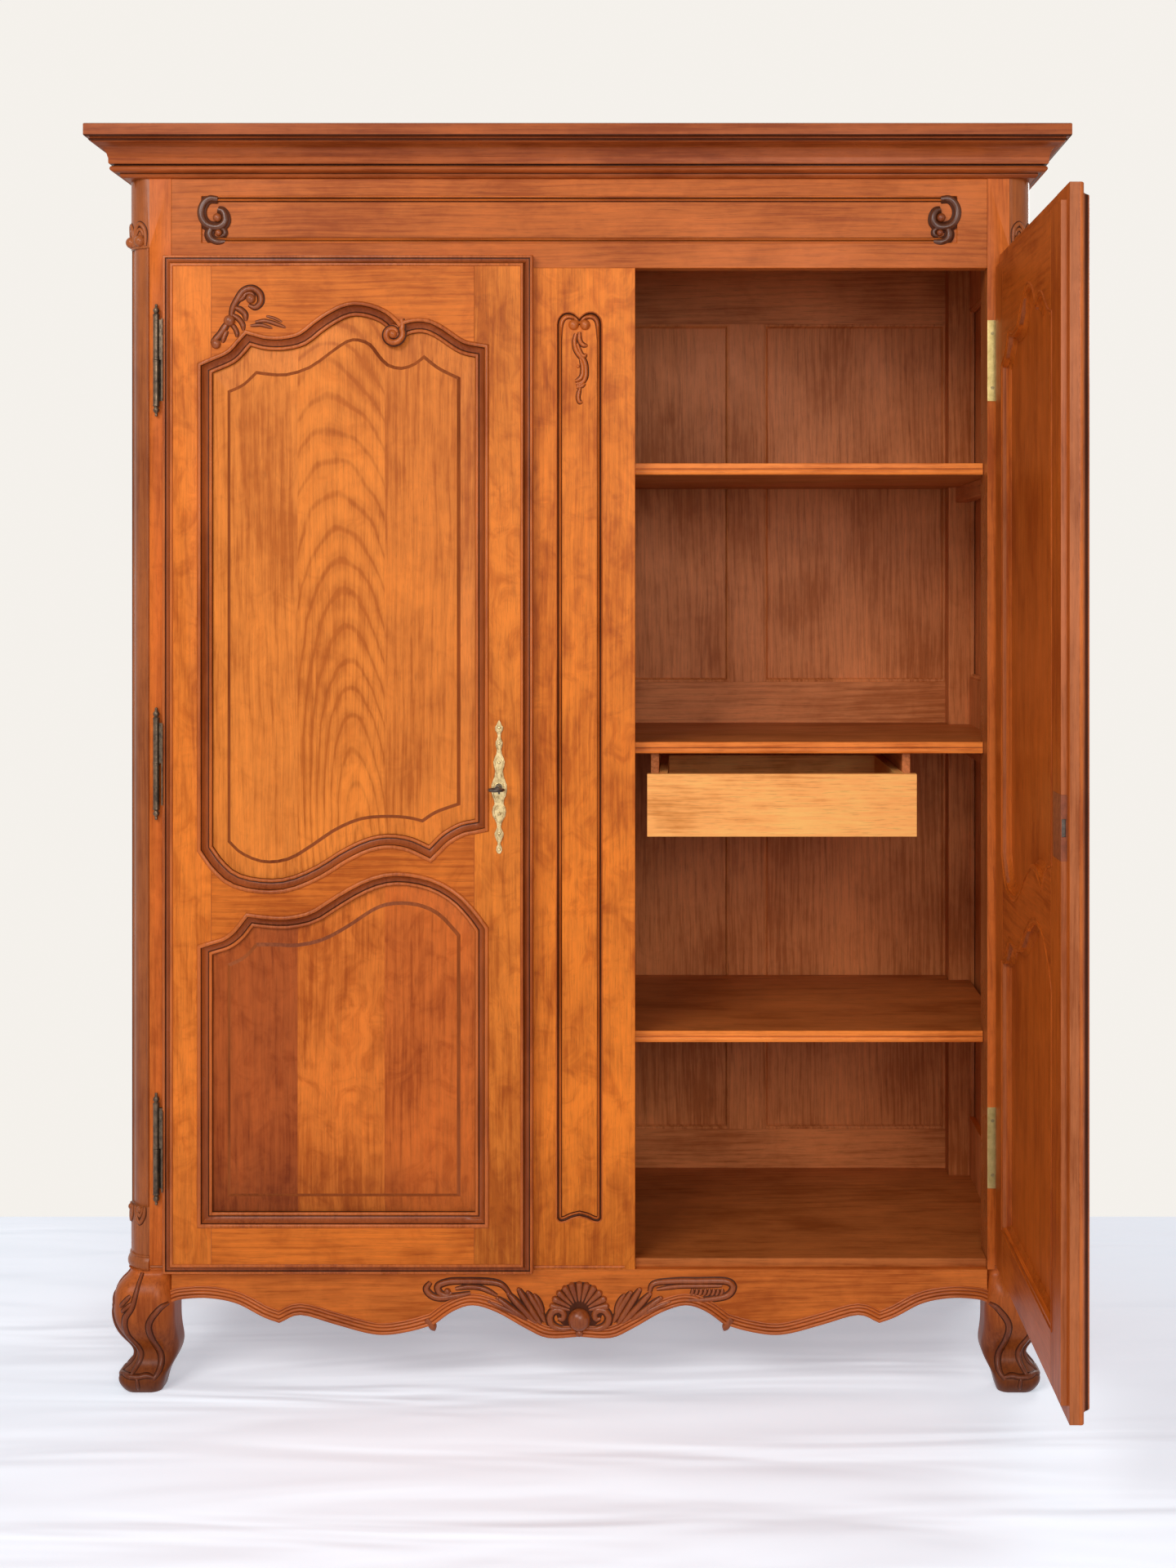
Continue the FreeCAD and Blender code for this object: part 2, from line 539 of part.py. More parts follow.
# Corner posts: the front ones carry a quarter-round column with a sunk shaft, the rear ones are plain
def front_post(side, corner):
    """A post cut square to its corner block where the column's back would stand out of it."""
    name = "front_" + side + "_post"
    round_x = across(side, "half_width - column_radius", "half_width - column_radius")[0]
    lengths = (("foot", "column_radius", "base_top", "shaft_bottom"),
               ("shaft", "column_radius - shaft_recess", "shaft_bottom", "shaft_top"),
               ("head", "column_radius", "shaft_top", "case_top"))
    solids = [box(name + "_core", across(side, "post_edge", "half_width - column_radius"),
                  ("face", "side_front"), ("base_top", "case_top")),
              box(name + "_flank", across(side, "half_width - column_radius", "half_width"),
                  ("face + column_radius", "side_front"), ("base_top", "case_top"))]
    for part, radius, low, high in lengths:
        solids.append(cylinder(name + "_" + part, radius, high + " - " + low, round_x,
                               "face + column_radius", low))
    squared = doc.addObject("Part::Common", name + "_squared")
    squared.Base = fuse(name + "_block", solids)
    squared.Tool = corner
    return cut(name, squared, [frieze_board] + side_frames[side] + frame_halves[side])


corner_blocks = []
for side in SIDES:
    front_block = box(side + "_front_block", across(side, "post_edge", "half_width"),
                      ("face", "side_front"), ("base_top", "case_top"))
    keep(front_post(side, front_block), "front_" + side + "_post")
    rear_block = box(side + "_rear_block", across(side, "post_edge", "half_width"),
                     ("side_rear", "rear"), ("0", "case_top"))
    keep(cut("rear_" + side + "_post", rear_block, side_frames[side] + back_boards + back_panel_boards),
         "rear_" + side + "_post")
    corner_blocks += [front_block, rear_block]


# Floor, top board, shelves and their cleats
floor_blank = box("floor_blank", ("-side_inner - floor_bearing", "side_inner + floor_bearing"),
                  ("face + floor_set_back", "back_face"), ("base_top", "floor_top"))
keep(cut("floor_board", floor_blank, corner_blocks + [centre_board]), "floor_board")
keep(box("top_board", ("-half_width + cornice_seat", "half_width - cornice_seat"),
         ("face + cornice_seat", "rear - cornice_back_thickness"),
         ("case_top", "case_top + top_board_thickness")), "top_board")
cleats = []
for level in ("lower", "middle", "upper"):
    top = level + "_shelf_top"
    under = top + " - shelf_thickness"
    blank = box(level + "_shelf_blank", ("-side_inner", "side_inner"), ("shelf_front", "back_face"),
                (under, top))
    keep(cut(level + "_shelf", blank, corner_blocks), level + "_shelf")
    for side in SIDES:
        cleats.append(box(side + "_" + level + "_cleat", across(side, "cleat_inner", "side_inner"),
                          ("side_front", "side_rear"), (under + " - cleat_height", under)))
keep(group("shelf_cleats", cleats), "shelf_cleats")


# Cornice: one moulding section, mitred at the front corners
def cornice_section(place):
    """The moulding's face; place turns a distance out from the case and a height into a point."""
    reach = number("cornice_reach")
    height = number("cornice_height")
    seat = number("cornice_seat")

    def points(shares):
        return [place(out * reach, up * height) for out, up in shares]

    def straight(shares):
        row = points(shares)
        return [list(pair) for pair in zip(row, row[1:])]

    foot = [place(-seat, 0), points(cornice_foot_shares)[0]]
    closing = [place(reach, height), place(-seat, height)]
    return chain([foot] + straight(cornice_foot_shares) + [points(cornice_bead_shares)]
                 + straight(cornice_step_shares) + [points(cornice_cove_shares)]
                 + straight(cornice_fascia_shares) + [closing])


def plan_prism(corners):
    """An upright prism over a plan outline, tall enough for the cornice."""
    base = number("case_top")
    points = [FreeCAD.Vector(x, y, base) for x, y in corners]
    return Part.Face(Part.makePolygon(points + points[:1])).extrude(
        FreeCAD.Vector(0, 0, number("cornice_height")))


cornice_inner_x = number("half_width - cornice_seat")
cornice_outer_x = number("half_width + cornice_reach")
cornice_inner_y = number("face + cornice_seat")
cornice_outer_y = number("face - cornice_reach")
front_run = cornice_section(lambda out, up: FreeCAD.Vector(
    -cornice_outer_x, number("face") - out, number("case_top") + up)).extrude(
    FreeCAD.Vector(2 * cornice_outer_x, 0, 0))
keep(feature("cornice_front", front_run.common(plan_prism((
    (-cornice_outer_x, cornice_outer_y), (cornice_outer_x, cornice_outer_y),
    (cornice_inner_x, cornice_inner_y), (-cornice_inner_x, cornice_inner_y))))), "cornice_front")
side_run = cornice_section(lambda out, up: FreeCAD.Vector(
    number("half_width") + out, cornice_outer_y, number("case_top") + up)).extrude(
    FreeCAD.Vector(0, number("rear") - cornice_outer_y, 0))
right_return = side_run.common(plan_prism((
    (cornice_outer_x, cornice_outer_y), (cornice_outer_x, number("rear")),
    (cornice_inner_x, number("rear")), (cornice_inner_x, cornice_inner_y))))
keep(feature("cornice_right", right_return), "cornice_right")
keep(feature("cornice_left", right_return.mirror(FreeCAD.Vector(), FreeCAD.Vector(1, 0, 0))), "cornice_left")
keep(box("cornice_back", ("-half_width + cornice_seat", "half_width - cornice_seat"),
         ("rear - cornice_back_thickness", "rear"), ("case_top", "case_top + cornice_height")),
     "cornice_back")


# Doors
def door_place(side, depth):
    """Turn an across share and a height into a point on the door at one depth."""
    hinge_x = number("hinge_sight")
    width = number("sight_width")
    return lambda share, z: FreeCAD.Vector(sign(side) * (hinge_x - share * width), depth, z)


def edge_rows(place, shares, datum, scallop, shift=0):
    return [[place(u, number(datum) + share * scallop + shift) for u, share in stretch] for stretch in shares]


def reversed_rows(rows):
    return [list(reversed(row)) for row in reversed(rows)]


PANELS = {
    "upper": (upper_top_sight_shares, upper_bottom_sight_shares, upper_top_field_shares,
              upper_bottom_field_shares, "upper_top_scallop", "upper_bottom_scallop"),
    "lower": (lower_top_sight_shares, lower_bottom_sight_shares, lower_top_field_shares,
              lower_bottom_field_shares, "lower_top_scallop", "lower_top_scallop"),
}


def panel_board(side, level):
    """A panel: a thin board that enters the grooves, and its raised field."""
    top_sight, bottom_sight, top_field, bottom_field, top_scallop, bottom_scallop = PANELS[level]
    top = level + "_panel_top"
    bottom = level + "_panel_bottom"
    groove = number("groove_depth")
    place = door_place(side, number("door_panel_front"))
    beyond = groove / number("sight_width")
    upper_rows = edge_rows(place, top_sight, top, -number(top_scallop), groove)
    lower_rows = edge_rows(place, bottom_sight, bottom, number(bottom_scallop), -groove)
    lock_edge = [place(1 + beyond, lower_rows[-1][-1].z), place(1 + beyond, upper_rows[-1][-1].z)]
    hinge_edge = [place(-beyond, upper_rows[0][0].z), place(-beyond, lower_rows[0][0].z)]
    tongue = slab(chain(lower_rows + [lock_edge] + reversed_rows(upper_rows) + [hinge_edge]),
                  number("panel_thickness"))
    field_face = chain(edge_rows(place, bottom_field, bottom, number(bottom_scallop))
                       + reversed_rows(edge_rows(place, top_field, top, -number(top_scallop))))
    name = side + "_" + level + "_panel_"
    return fuse(name + "board", [feature(name + "tongue", tongue),
                                 feature(name + "field", slab(field_face, -number("field_rise")))])


def rail_board(side, level, upper_rows, lower_rows, tenon_span):
    """A rail between two edges, with one tenon that runs right through it into both stiles."""
    name = side + "_" + level + "_rail_"
    shape = slab(chain(lower_rows + reversed_rows(upper_rows)), number("door_inside - door_front"))
    return fuse(name + "board", [
        feature(name + "slab", shape),
        box(name + "tenon", across(side, "lock_sight - tenon_length", "hinge_sight + tenon_length"),
            ("door_panel_front", "door_panel_back"), tenon_span)])


def door_rails(side):
    place = door_place(side, number("door_front"))
    top_edge = [[place(0, number("door_top")), place(1, number("door_top"))]]
    bottom_edge = [[place(0, number("door_bottom")), place(1, number("door_bottom"))]]
    upper_top = edge_rows(place, upper_top_sight_shares, "upper_panel_top", -number("upper_top_scallop"))
    upper_bottom = edge_rows(place, upper_bottom_sight_shares, "upper_panel_bottom",
                             number("upper_bottom_scallop"))
    lower_top = edge_rows(place, lower_top_sight_shares, "lower_panel_top", -number("lower_top_scallop"))
    lower_bottom = edge_rows(place, lower_bottom_sight_shares, "lower_panel_bottom",
                             number("lower_top_scallop"))
    return {
        "top": rail_board(side, "top", top_edge, upper_top,
                          ("upper_panel_top", "step_top - tenon_shoulder")),
        "middle": rail_board(side, "middle", upper_bottom, lower_top,
                             ("(lower_panel_top + upper_panel_bottom - middle_tenon_height) / 2",
                              "(lower_panel_top + upper_panel_bottom + middle_tenon_height) / 2")),
        "bottom": rail_board(side, "bottom", lower_bottom, bottom_edge,
                             ("step_bottom + tenon_shoulder", "lower_panel_bottom - tenon_shoulder")),
    }


def door_rabbet(side):
    """What is cut away behind the lip, all round the part that enters the opening."""
    name = side + "_door_"
    whole = box(name + "back", across(side, "door_inner_edge - overrun", "door_outer_edge + overrun"),
                ("door_lip_back", "door_inside + overrun"), ("door_bottom - overrun", "door_top + overrun"))
    step = box(name + "step", across(side, "step_lock_edge", "step_hinge_edge"),
               ("door_lip_back - overrun", "door_inside + overrun * 2"), ("step_bottom", "step_top"))
    return cut(name + "rabbet", whole, [step])


def hang(side, label, closed):
    """Place a piece of a door: the left door is shut, the right one turned open on its hinges."""
    piece = group(label, [closed] if not isinstance(closed, list) else closed)
    angle = number("right_door_angle") if side == "right" else 0
    axis = FreeCAD.Vector(number("hinge_axis"), number("axis_y"), 0)
    turn = FreeCAD.Rotation(FreeCAD.Vector(0, 0, 1), angle)
    piece.Placement = FreeCAD.Placement(FreeCAD.Vector(), turn, axis)
    return keep(piece, label)


def plate_face(side):
    """The escutcheon's outline about the keyhole."""
    middle = sign(side) * number("keyhole_x")
    width = number("plate_width")
    foot = number("lock_height - plate_height / 2")
    depth = number("door_front - plate_thickness")

    def rows(turn):
        return [[FreeCAD.Vector(middle + turn * out * width, depth, foot + up * number("plate_height"))
                 for out, up in stretch] for stretch in plate_shares]

    return chain(rows(1) + reversed_rows(rows(-1)))


def lock_parts(side):
    """Lock case block, its hollow case, the bolt and the key's bore."""
    name = side + "_lock_"
    keyhole_x = across(side, "keyhole_x", "keyhole_x")[0]
    bolt_low = "lock_height - bolt_height / 2"
    bolt_high = "lock_height + bolt_height / 2"
    block = box(name + "block", across(side, "step_lock_edge", "step_lock_edge + lock_length"),
                ("lock_front", "door_inside"), ("lock_height - lock_tall / 2", "lock_height + lock_tall / 2"))
    channel = box(name + "channel",
                  across(side, "step_lock_edge - overrun", "bolt_tip + bolt_length + bolt_clearance"),
                  ("bolt_front - bolt_clearance", "bolt_back + bolt_clearance"),
                  (bolt_low + " - bolt_clearance", bolt_high + " + bolt_clearance"))
    chamber = cylinder(name + "chamber", "key_chamber_radius", "bolt_front - lock_front - bolt_inset",
                       keyhole_x, "lock_front + bolt_inset", "lock_height", lying=True)
    bore = cylinder(name + "bore", "key_radius + key_clearance",
                    "lock_front - door_front + overrun * 2",
                    keyhole_x, "door_front - overrun", "lock_height", lying=True)
    case = cut(name + "case_hollow", block, [channel, chamber, bore])
    bolt = box(name + "bolt_bar", across(side, "bolt_tip", "bolt_tip + bolt_length"),
               ("bolt_front", "bolt_back"), (bolt_low, bolt_high))
    return block, case, bolt, bore


for side in SIDES:
    panels = {level: panel_board(side, level) for level in PANELS}
    rails = door_rails(side)
    rabbet = door_rabbet(side)
    block, case, bolt, bore = lock_parts(side)
    panel_boards = list(panels.values())
    rail_boards = list(rails.values())
    stiles = {
        "hinge": (across(side, "hinge_sight", "door_outer_edge"), door_halves[side]),
        "lock": (across(side, "door_inner_edge", "lock_sight"), [block, bore]),
    }
    for name, (x_span, fittings) in stiles.items():
        label = side + "_" + name + "_stile"
        blank = box(label + "_blank", x_span, ("door_front", "door_inside"), ("door_bottom", "door_top"))
        hang(side, label, cut(label + "_cut", blank, [rabbet] + rail_boards + panel_boards + fittings))
    for level, rail in rails.items():
        label = side + "_" + level + "_rail"
        hang(side, label, cut(label + "_cut", rail, [rabbet] + panel_boards))
    for level, panel in panels.items():
        hang(side, side + "_" + level + "_panel", panel)
    hang(side, side + "_hinge_door_halves", door_halves[side])
    plate = feature(side + "_plate", slab(plate_face(side), number("plate_thickness")))
    hang(side, side + "_escutcheon", cut(side + "_plate_pierced", plate, [bore]))
    hang(side, side + "_lock_case", case)
    hang(side, side + "_bolt", bolt)


# Key in the left lock: stem, bit and bow ring
key_x = "-keyhole_x"
bow = bind(doc.addObject("Part::Torus", "key_bow"), Radius1="key_bow_radius", Radius2="key_bow_wire",
           Placement__Base__x=key_x, Placement__Base__y="key_tip - key_bow_radius",
           Placement__Base__z="lock_height")
keep(fuse("key", [
    cylinder("key_stem", "key_radius", "key_bit_back - key_tip", key_x, "key_tip", "lock_height", lying=True),
    box("key_bit", (key_x + " - key_bit_thickness / 2", key_x + " + key_bit_thickness / 2"),
        ("key_bit_back - key_bit_length", "key_bit_back"),
        ("lock_height - key_radius - key_bit_height", "lock_height")),
    bow]), "key")


# Drawer under the middle shelf, hung by tongues in the grooves of its sides
def beside(side, inner, outer):
    """Low and high X of a span on one side of the drawer's middle."""
    if side == "left":
        return "drawer_middle - (" + outer + ")", "drawer_middle - (" + inner + ")"
    return "drawer_middle + " + inner, "drawer_middle + " + outer


inner_half = "(drawer_half - drawer_side_thickness)"
bottom_board = keep(box(
    "drawer_bottom", ("drawer_middle - (" + inner_half + " + drawer_groove)",
                      "drawer_middle + " + inner_half + " + drawer_groove"),
    ("drawer_front_back - drawer_groove", "drawer_rear"),
    ("panel_base", "panel_base + drawer_bottom_thickness")), "drawer_bottom")
side_boards = []
runners = []
for side in SIDES:
    board = box("drawer_" + side + "_board", beside(side, inner_half, "drawer_half"),
                ("drawer_front_back - drawer_lap", "drawer_rear"), ("drawer_base", "drawer_top"))
    groove = box("drawer_" + side + "_groove",
                 beside(side, "drawer_half - drawer_groove", "drawer_half + overrun"),
                 ("drawer_front_back", "drawer_rear + overrun"),
                 ("tongue_base - runner_play", "tongue_top + runner_play"))
    side_boards.append(cut("drawer_" + side + "_side", board, [groove, bottom_board]))
    runners.append(fuse(side + "_runner", [
        box(side + "_runner_hanger", beside(side, "runner_half", "runner_half + runner_thickness"),
            ("runner_front", "runner_rear"),
            ("tongue_base - runner_foot", "middle_shelf_top - shelf_thickness")),
        box(side + "_runner_tongue", beside(side, "runner_half - runner_tongue", "runner_half"),
            ("runner_front", "runner_rear"), ("tongue_base", "tongue_top"))]))
keep(group("drawer_runners", runners), "drawer_runners")
keep(group("drawer_sides", side_boards), "drawer_sides")
front_blank = box("drawer_front_blank", ("drawer_left", "drawer_right"), ("drawer_face", "drawer_front_back"),
                  ("drawer_base", "drawer_top"))
keep(cut("drawer_front", front_blank, side_boards + [bottom_board]), "drawer_front")
keep(box("drawer_back", ("drawer_middle - " + inner_half, "drawer_middle + " + inner_half),
         ("drawer_rear - drawer_back_thickness", "drawer_rear"),
         ("panel_base + drawer_bottom_thickness", "drawer_top")), "drawer_back")


# Check every object, then write each piece
doc.recompute()
for item in doc.Objects:
    if "Invalid" in item.State or "Error" in item.State:
        raise RuntimeError("failed: " + item.Label)
for piece in pieces:
    if piece.Shape.isNull() or not piece.Shape.isValid() or not piece.Shape.Solids:
        raise RuntimeError("bad shape: " + piece.Label)
os.makedirs("parts", exist_ok=True)
for piece in pieces:
    piece.Shape.exportStep("parts/" + piece.Label + ".step")
print(len(pieces), "pieces,", sum(len(piece.Shape.Solids) for piece in pieces), "solids")
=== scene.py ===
import math

import bmesh
import bpy
from mathutils import Matrix, Vector
from mathutils.bvhtree import BVHTree


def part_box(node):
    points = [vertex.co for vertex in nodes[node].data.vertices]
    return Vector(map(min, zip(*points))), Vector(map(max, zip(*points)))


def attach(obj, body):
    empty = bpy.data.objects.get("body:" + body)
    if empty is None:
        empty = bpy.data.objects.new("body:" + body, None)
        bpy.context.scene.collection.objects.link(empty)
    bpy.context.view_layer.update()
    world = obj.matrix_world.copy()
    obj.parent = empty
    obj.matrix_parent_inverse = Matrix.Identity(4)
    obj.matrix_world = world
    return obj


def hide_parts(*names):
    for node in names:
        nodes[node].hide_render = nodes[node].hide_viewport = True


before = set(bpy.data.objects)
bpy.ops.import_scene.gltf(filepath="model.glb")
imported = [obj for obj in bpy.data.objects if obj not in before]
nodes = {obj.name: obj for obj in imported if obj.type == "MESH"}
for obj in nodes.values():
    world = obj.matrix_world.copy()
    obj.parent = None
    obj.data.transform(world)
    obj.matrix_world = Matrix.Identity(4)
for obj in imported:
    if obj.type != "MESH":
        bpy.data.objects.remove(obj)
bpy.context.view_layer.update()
scene = bpy.context.scene
SIDES = ("left", "right")
SIGNS = {"left": -1, "right": 1}
MM = 0.001

# Main places of the case, in metres
FACE = -0.285
REAR = 0.285
HALF_WIDTH = 0.75
CASE_TOP = 2.007
DOOR_FRONT = -0.3134
DOOR_INSIDE = -0.277
PANEL_FRONT = -0.2997
PANEL_BACK = -0.2907
DOOR_INNER = 0.0755
DOOR_OUTER = 0.685
DOOR_BOTTOM = 0.201
DOOR_TOP = 1.878
HINGE_SIGHT = 0.602
LOCK_SIGHT = 0.1705
SIGHT_WIDTH = HINGE_SIGHT - LOCK_SIGHT
# Top of each panel and depth of its scallop, bottom of each panel and depth of its scallop
PANEL_EDGES = {"upper": (1.7765, 0.093, 0.852, 0.098), "lower": (0.841, 0.114, 0.304, 0.114)}
HINGE_AXIS = Vector((0.698, -0.291, 0))
POST_EDGE = 0.675
BASE_TOP = 0.203
MERGE = 0.00001

# Outlines, each a row of stretches that meet in a cusp. First share: across the panel from its
# hinge side. Second share: of the scallop, down from a top edge or up from a bottom edge.
upper_top_sight_shares = (
    ((0, 1), (0.088, 0.81), (0.146, 0.53)),
    ((0.146, 0.53), (0.204, 0.596), (0.281, 0.596), (0.357, 0.5), (0.433, 0.23), (0.509, 0.03),
     (0.566, 0), (0.632, 0.095), (0.674, 0.26), (0.7, 0.44)),
    ((0.7, 0.44), (0.75, 0.32), (0.8, 0.29), (0.847, 0.374), (0.921, 0.604), (0.962, 0.686), (1, 0.72)),
)
upper_top_field_shares = (
    ((0.056, 1.31), (0.112, 1.186), (0.165, 0.96)),
    ((0.165, 0.96), (0.213, 0.99), (0.281, 1), (0.367, 0.874), (0.443, 0.624), (0.509, 0.415),
     (0.557, 0.386), (0.604, 0.477), (0.632, 0.644), (0.67, 0.832), (0.721, 0.887), (0.768, 0.812),
     (0.805, 0.677)),
    ((0.805, 0.677), (0.866, 0.895), (0.944, 1.074)),
)
upper_bottom_sight_shares = (
    ((0, 0.545), (0.039, 0.306), (0.098, 0.09), (0.194, 0), (0.29, 0.03), (0.396, 0.228), (0.49, 0.486),
     (0.585, 0.683), (0.67, 0.75), (0.754, 0.7), (0.824, 0.565)),
    ((0.824, 0.565), (0.875, 0.78), (0.94, 0.94), (1, 1)),
)
upper_bottom_field_shares = (
    ((0.056, 0.613), (0.107, 0.404), (0.194, 0.258), (0.29, 0.304), (0.377, 0.522), (0.471, 0.8),
     (0.566, 0.977), (0.661, 1.017), (0.744, 0.997), (0.8, 0.938)),
    ((0.8, 0.938), (0.856, 1.095), (0.944, 1.234)),
)
lower_top_sight_shares = (
    ((0, 1), (0.068, 0.916), (0.117, 0.78), (0.156, 0.6)),
    ((0.156, 0.6), (0.223, 0.627), (0.3, 0.627), (0.396, 0.542), (0.49, 0.322), (0.585, 0.117),
     (0.67, 0.012), (0.754, 0.015), (0.838, 0.1), (0.912, 0.271), (0.967, 0.491), (1, 0.661)),
)
lower_top_field_shares = (
    ((0.056, 1.136), (0.117, 1.018), (0.165, 0.831)),
    ((0.165, 0.831), (0.242, 0.831), (0.319, 0.841), (0.415, 0.763), (0.509, 0.576), (0.604, 0.339),
     (0.67, 0.246), (0.744, 0.236), (0.81, 0.288), (0.875, 0.424), (0.944, 0.712)),
)
lower_bottom_sight_shares = (((0, 0), (1, 0)),)
lower_bottom_field_shares = (((0.056, 0.22), (0.944, 0.22)),)
apron_shares = (
    ((1, 0.74), (0.975, 0.768), (0.91, 0.778), (0.84, 0.735), (0.775, 0.625), (0.735, 0.576)),
    ((0.735, 0.576), (0.683, 0.64), (0.6, 0.566), (0.52, 0.493), (0.47, 0.478), (0.41, 0.51),
     (0.356, 0.562)),
    ((0.356, 0.562), (0.31, 0.67), (0.26, 0.719), (0.2, 0.66), (0.13, 0.53), (0.076, 0.453), (0, 0.463)),
)


# Wood, brass and iron finishes
def fill(node, sockets):
    """Set a node's sockets, or wire them where another node's output is given."""
    for name, value in sockets.items():
        if isinstance(value, bpy.types.NodeSocket):
            node.id_data.links.new(value, node.inputs[name])
        else:
            node.inputs[name].default_value = value
    return node


def blank_finish(name):
    """An empty node material with its tree and its shader."""
    material = bpy.data.materials.new(name)
    material.use_nodes = True
    return material, material.node_tree, material.node_tree.nodes["Principled BSDF"]


def added(near, kind, sockets):
    """A new node, filled, in the tree of an output that is there already."""
    return fill(near.id_data.nodes.new("ShaderNode" + kind), sockets).outputs


def object_spot(tree):
    return tree.nodes.new("ShaderNodeTexCoord").outputs["Object"]


def laid(place, scale=(1, 1, 1), turn=(0, 0, 0), shift=(0, 0, 0)):
    """Coordinates stretched, turned and shifted."""
    sockets = {"Vector": place, "Scale": scale, "Rotation": turn, "Location": shift}
    return added(place, "Mapping", sockets)["Vector"]


def noise(place, scale, detail, roughness=0.55, bend=0, output="Fac"):
    sockets = {"Vector": place, "Scale": scale, "Detail": detail, "Roughness": roughness, "Distortion": bend}
    return added(place, "TexNoise", sockets)[output]


def ramp(source, *stops):
    """A colour ramp from (position, grey or colour) stops."""
    node = source.id_data.nodes.new("ShaderNodeValToRGB")
    while len(node.color_ramp.elements) < len(stops):
        node.color_ramp.elements.new(0.5)
    for element, (position, shade) in zip(node.color_ramp.elements, stops):
        element.position = position
        element.color = (*shade, 1) if isinstance(shade, tuple) else (shade, shade, shade, 1)
    return fill(node, {"Fac": source}).outputs["Color"]


def mixed(blend, amount, below, above):
    """Lay one colour over another."""
    node = below.id_data.nodes.new("ShaderNodeMix")
    node.data_type = "RGBA"
    node.blend_type = blend
    return fill(node, {"Factor": amount, "A": below, "B": above}).outputs["Result"]


def dented(height, strength, distance):
    """Surface directions tilted by the slopes of a height."""
    return added(height, "Bump", {"Height": height, "Strength": strength, "Distance": distance})["Normal"]


QUARTER = math.pi / 2
GRAIN_TURNS = {"upright": (0, 0, 0), "level": (0, QUARTER, 0), "deep": (QUARTER, 0, 0)}
DEEPER = (0.7, 0.58, 0.42)
PALER = 1.22


def waxed_wood(name, colour, run="upright", shift=(0, 0, 0), log=(0.13, 0.1), tilt=0.05, gloss=0.38,
               figure=0.5, shine=0.15, rings=0.16, toe=None):
    """Waxed cherry: growth rings, fine fibres, curly figure, pores and darker clouds along the grain."""
    material, tree, shader = blank_finish(name)
    spot = object_spot(tree)
    grain = laid(spot, turn=GRAIN_TURNS[run], shift=shift)
    drift = noise(laid(grain, (1, 1, 0.4)), 5, 2, output="Color")
    bent = tree.nodes.new("ShaderNodeMix")
    bent.data_type = "VECTOR"
    flow = fill(bent, {"Factor": 0.02, "A": grain, "B": drift}).outputs["Result"]
    years = tree.nodes.new("ShaderNodeTexWave")
    years.wave_type = "RINGS"
    years.rings_direction = "Z"
    trunk = laid(flow, turn=(-tilt, tilt / 3, 0), shift=(*log, 0))
    fill(years, {"Vector": trunk, "Scale": 28, "Distortion": 2.4, "Detail": 2, "Detail Scale": 0.45})
    growth = ramp(years.outputs["Fac"], (0, 0.18), (0.16, 0.46), (0.7, 0.56), (1, 0.66))
    fibres = noise(laid(flow, (1, 1, 0.03)), 260, 3)
    clouds = noise(laid(grain, (1, 1, 0.5)), 7, 5, 0.64)
    tone = mixed("MIX", 0.3, mixed("MIX", rings, clouds, growth), fibres)
    dark = tuple(channel * share for channel, share in zip(colour, DEEPER))
    light = tuple(min(channel * PALER, 1) for channel in colour)
    body = ramp(tone, (0.4, dark), (0.5, colour), (0.6, light))
    curl = noise(laid(flow, (1, 1, 0.8)), 24, 4, 0.6, bend=1.4)
    ripple = ramp(curl, (0.3, (0.74, 0.62, 0.46)), (0.52, 1.0), (0.72, 1.08))
    body = mixed("MULTIPLY", figure, body, ripple)
    flecks = ramp(noise(laid(grain, (1, 1, 0.05)), 700, 2), (0.32, 0.6), (0.43, 1.0))
    body = mixed("MULTIPLY", 0.45, body, flecks)
    # Optionally darker towards the bottom, from a high level down to a low one; on the feet this is painted
    # shade.
    if toe:
        low, high, depth = toe
        height = added(spot, "SeparateXYZ", {"Vector": spot})["Z"]
        body = mixed("MULTIPLY", 1, body, ramp(height, (low, depth), (high, 1.0)))
    sheen = ramp(clouds, (0.3, gloss + 0.08), (0.7, gloss - 0.05))
    fill(shader, {"Base Color": body, "Roughness": sheen, "Normal": dented(flecks, 0.12, 0.0005),
                  "Specular IOR Level": shine})
    return material


def in_all_runs(name, colour, **look):
    """One finish with its grain upright, level and from front to back."""
    return {run: waxed_wood(name + "_" + run, colour, run, **look) for run in GRAIN_TURNS}


TRIM = {"figure": 0.2, "rings": 0.04}
cherry = in_all_runs("waxed_cherry", (0.62, 0.15, 0.016), shift=(0.2, 0.1, 0.3))
stile_wood = {
    name: waxed_wood(name + "_cherry", colour, shift=shift, log=log, figure=0.9, toe=(0.2, 0.5, 0.8))
    for name, colour, shift, log in (
        ("hinge_stile", (0.7, 0.178, 0.02), (0.4, 0, 0.6), (0.32, 0.5)),
        ("lock_stile", (0.66, 0.178, 0.02), (0.9, 0.2, 0.1), (-0.7, 0.2)),
        ("centre_post", (0.72, 0.186, 0.017), (1.3, 0.4, 0.8), (-1.35, 0.0)))}
post_strip_wood = waxed_wood("post_strip_cherry", (0.58, 0.13, 0.018), shift=(0.1, 0.7, 0.2))
frieze_wood = waxed_wood("frieze_cherry", (0.5, 0.118, 0.017), "level", shift=(0.5, 0.3, 0.1), figure=0.35)
apron_wood = waxed_wood("apron_cherry", (0.55, 0.136, 0.019), "level", shift=(0.1, 0.6, 0.4), figure=0.35)
moulding_wood = in_all_runs("moulding_cherry", (0.5, 0.118, 0.019), gloss=0.24, shine=0.26, **TRIM)
# Darker finish in the coves of the mouldings: painted shade.
cove_shade_wood = in_all_runs("cove_shade_cherry", (0.32, 0.07, 0.014), gloss=0.28, shine=0.2, **TRIM)
# Near-black finish in the grooves of the mouldings and round carved strands: painted shade.
groove_shade_wood = waxed_wood("groove_shade_cherry", (0.075, 0.019, 0.007), shine=0.1, **TRIM)
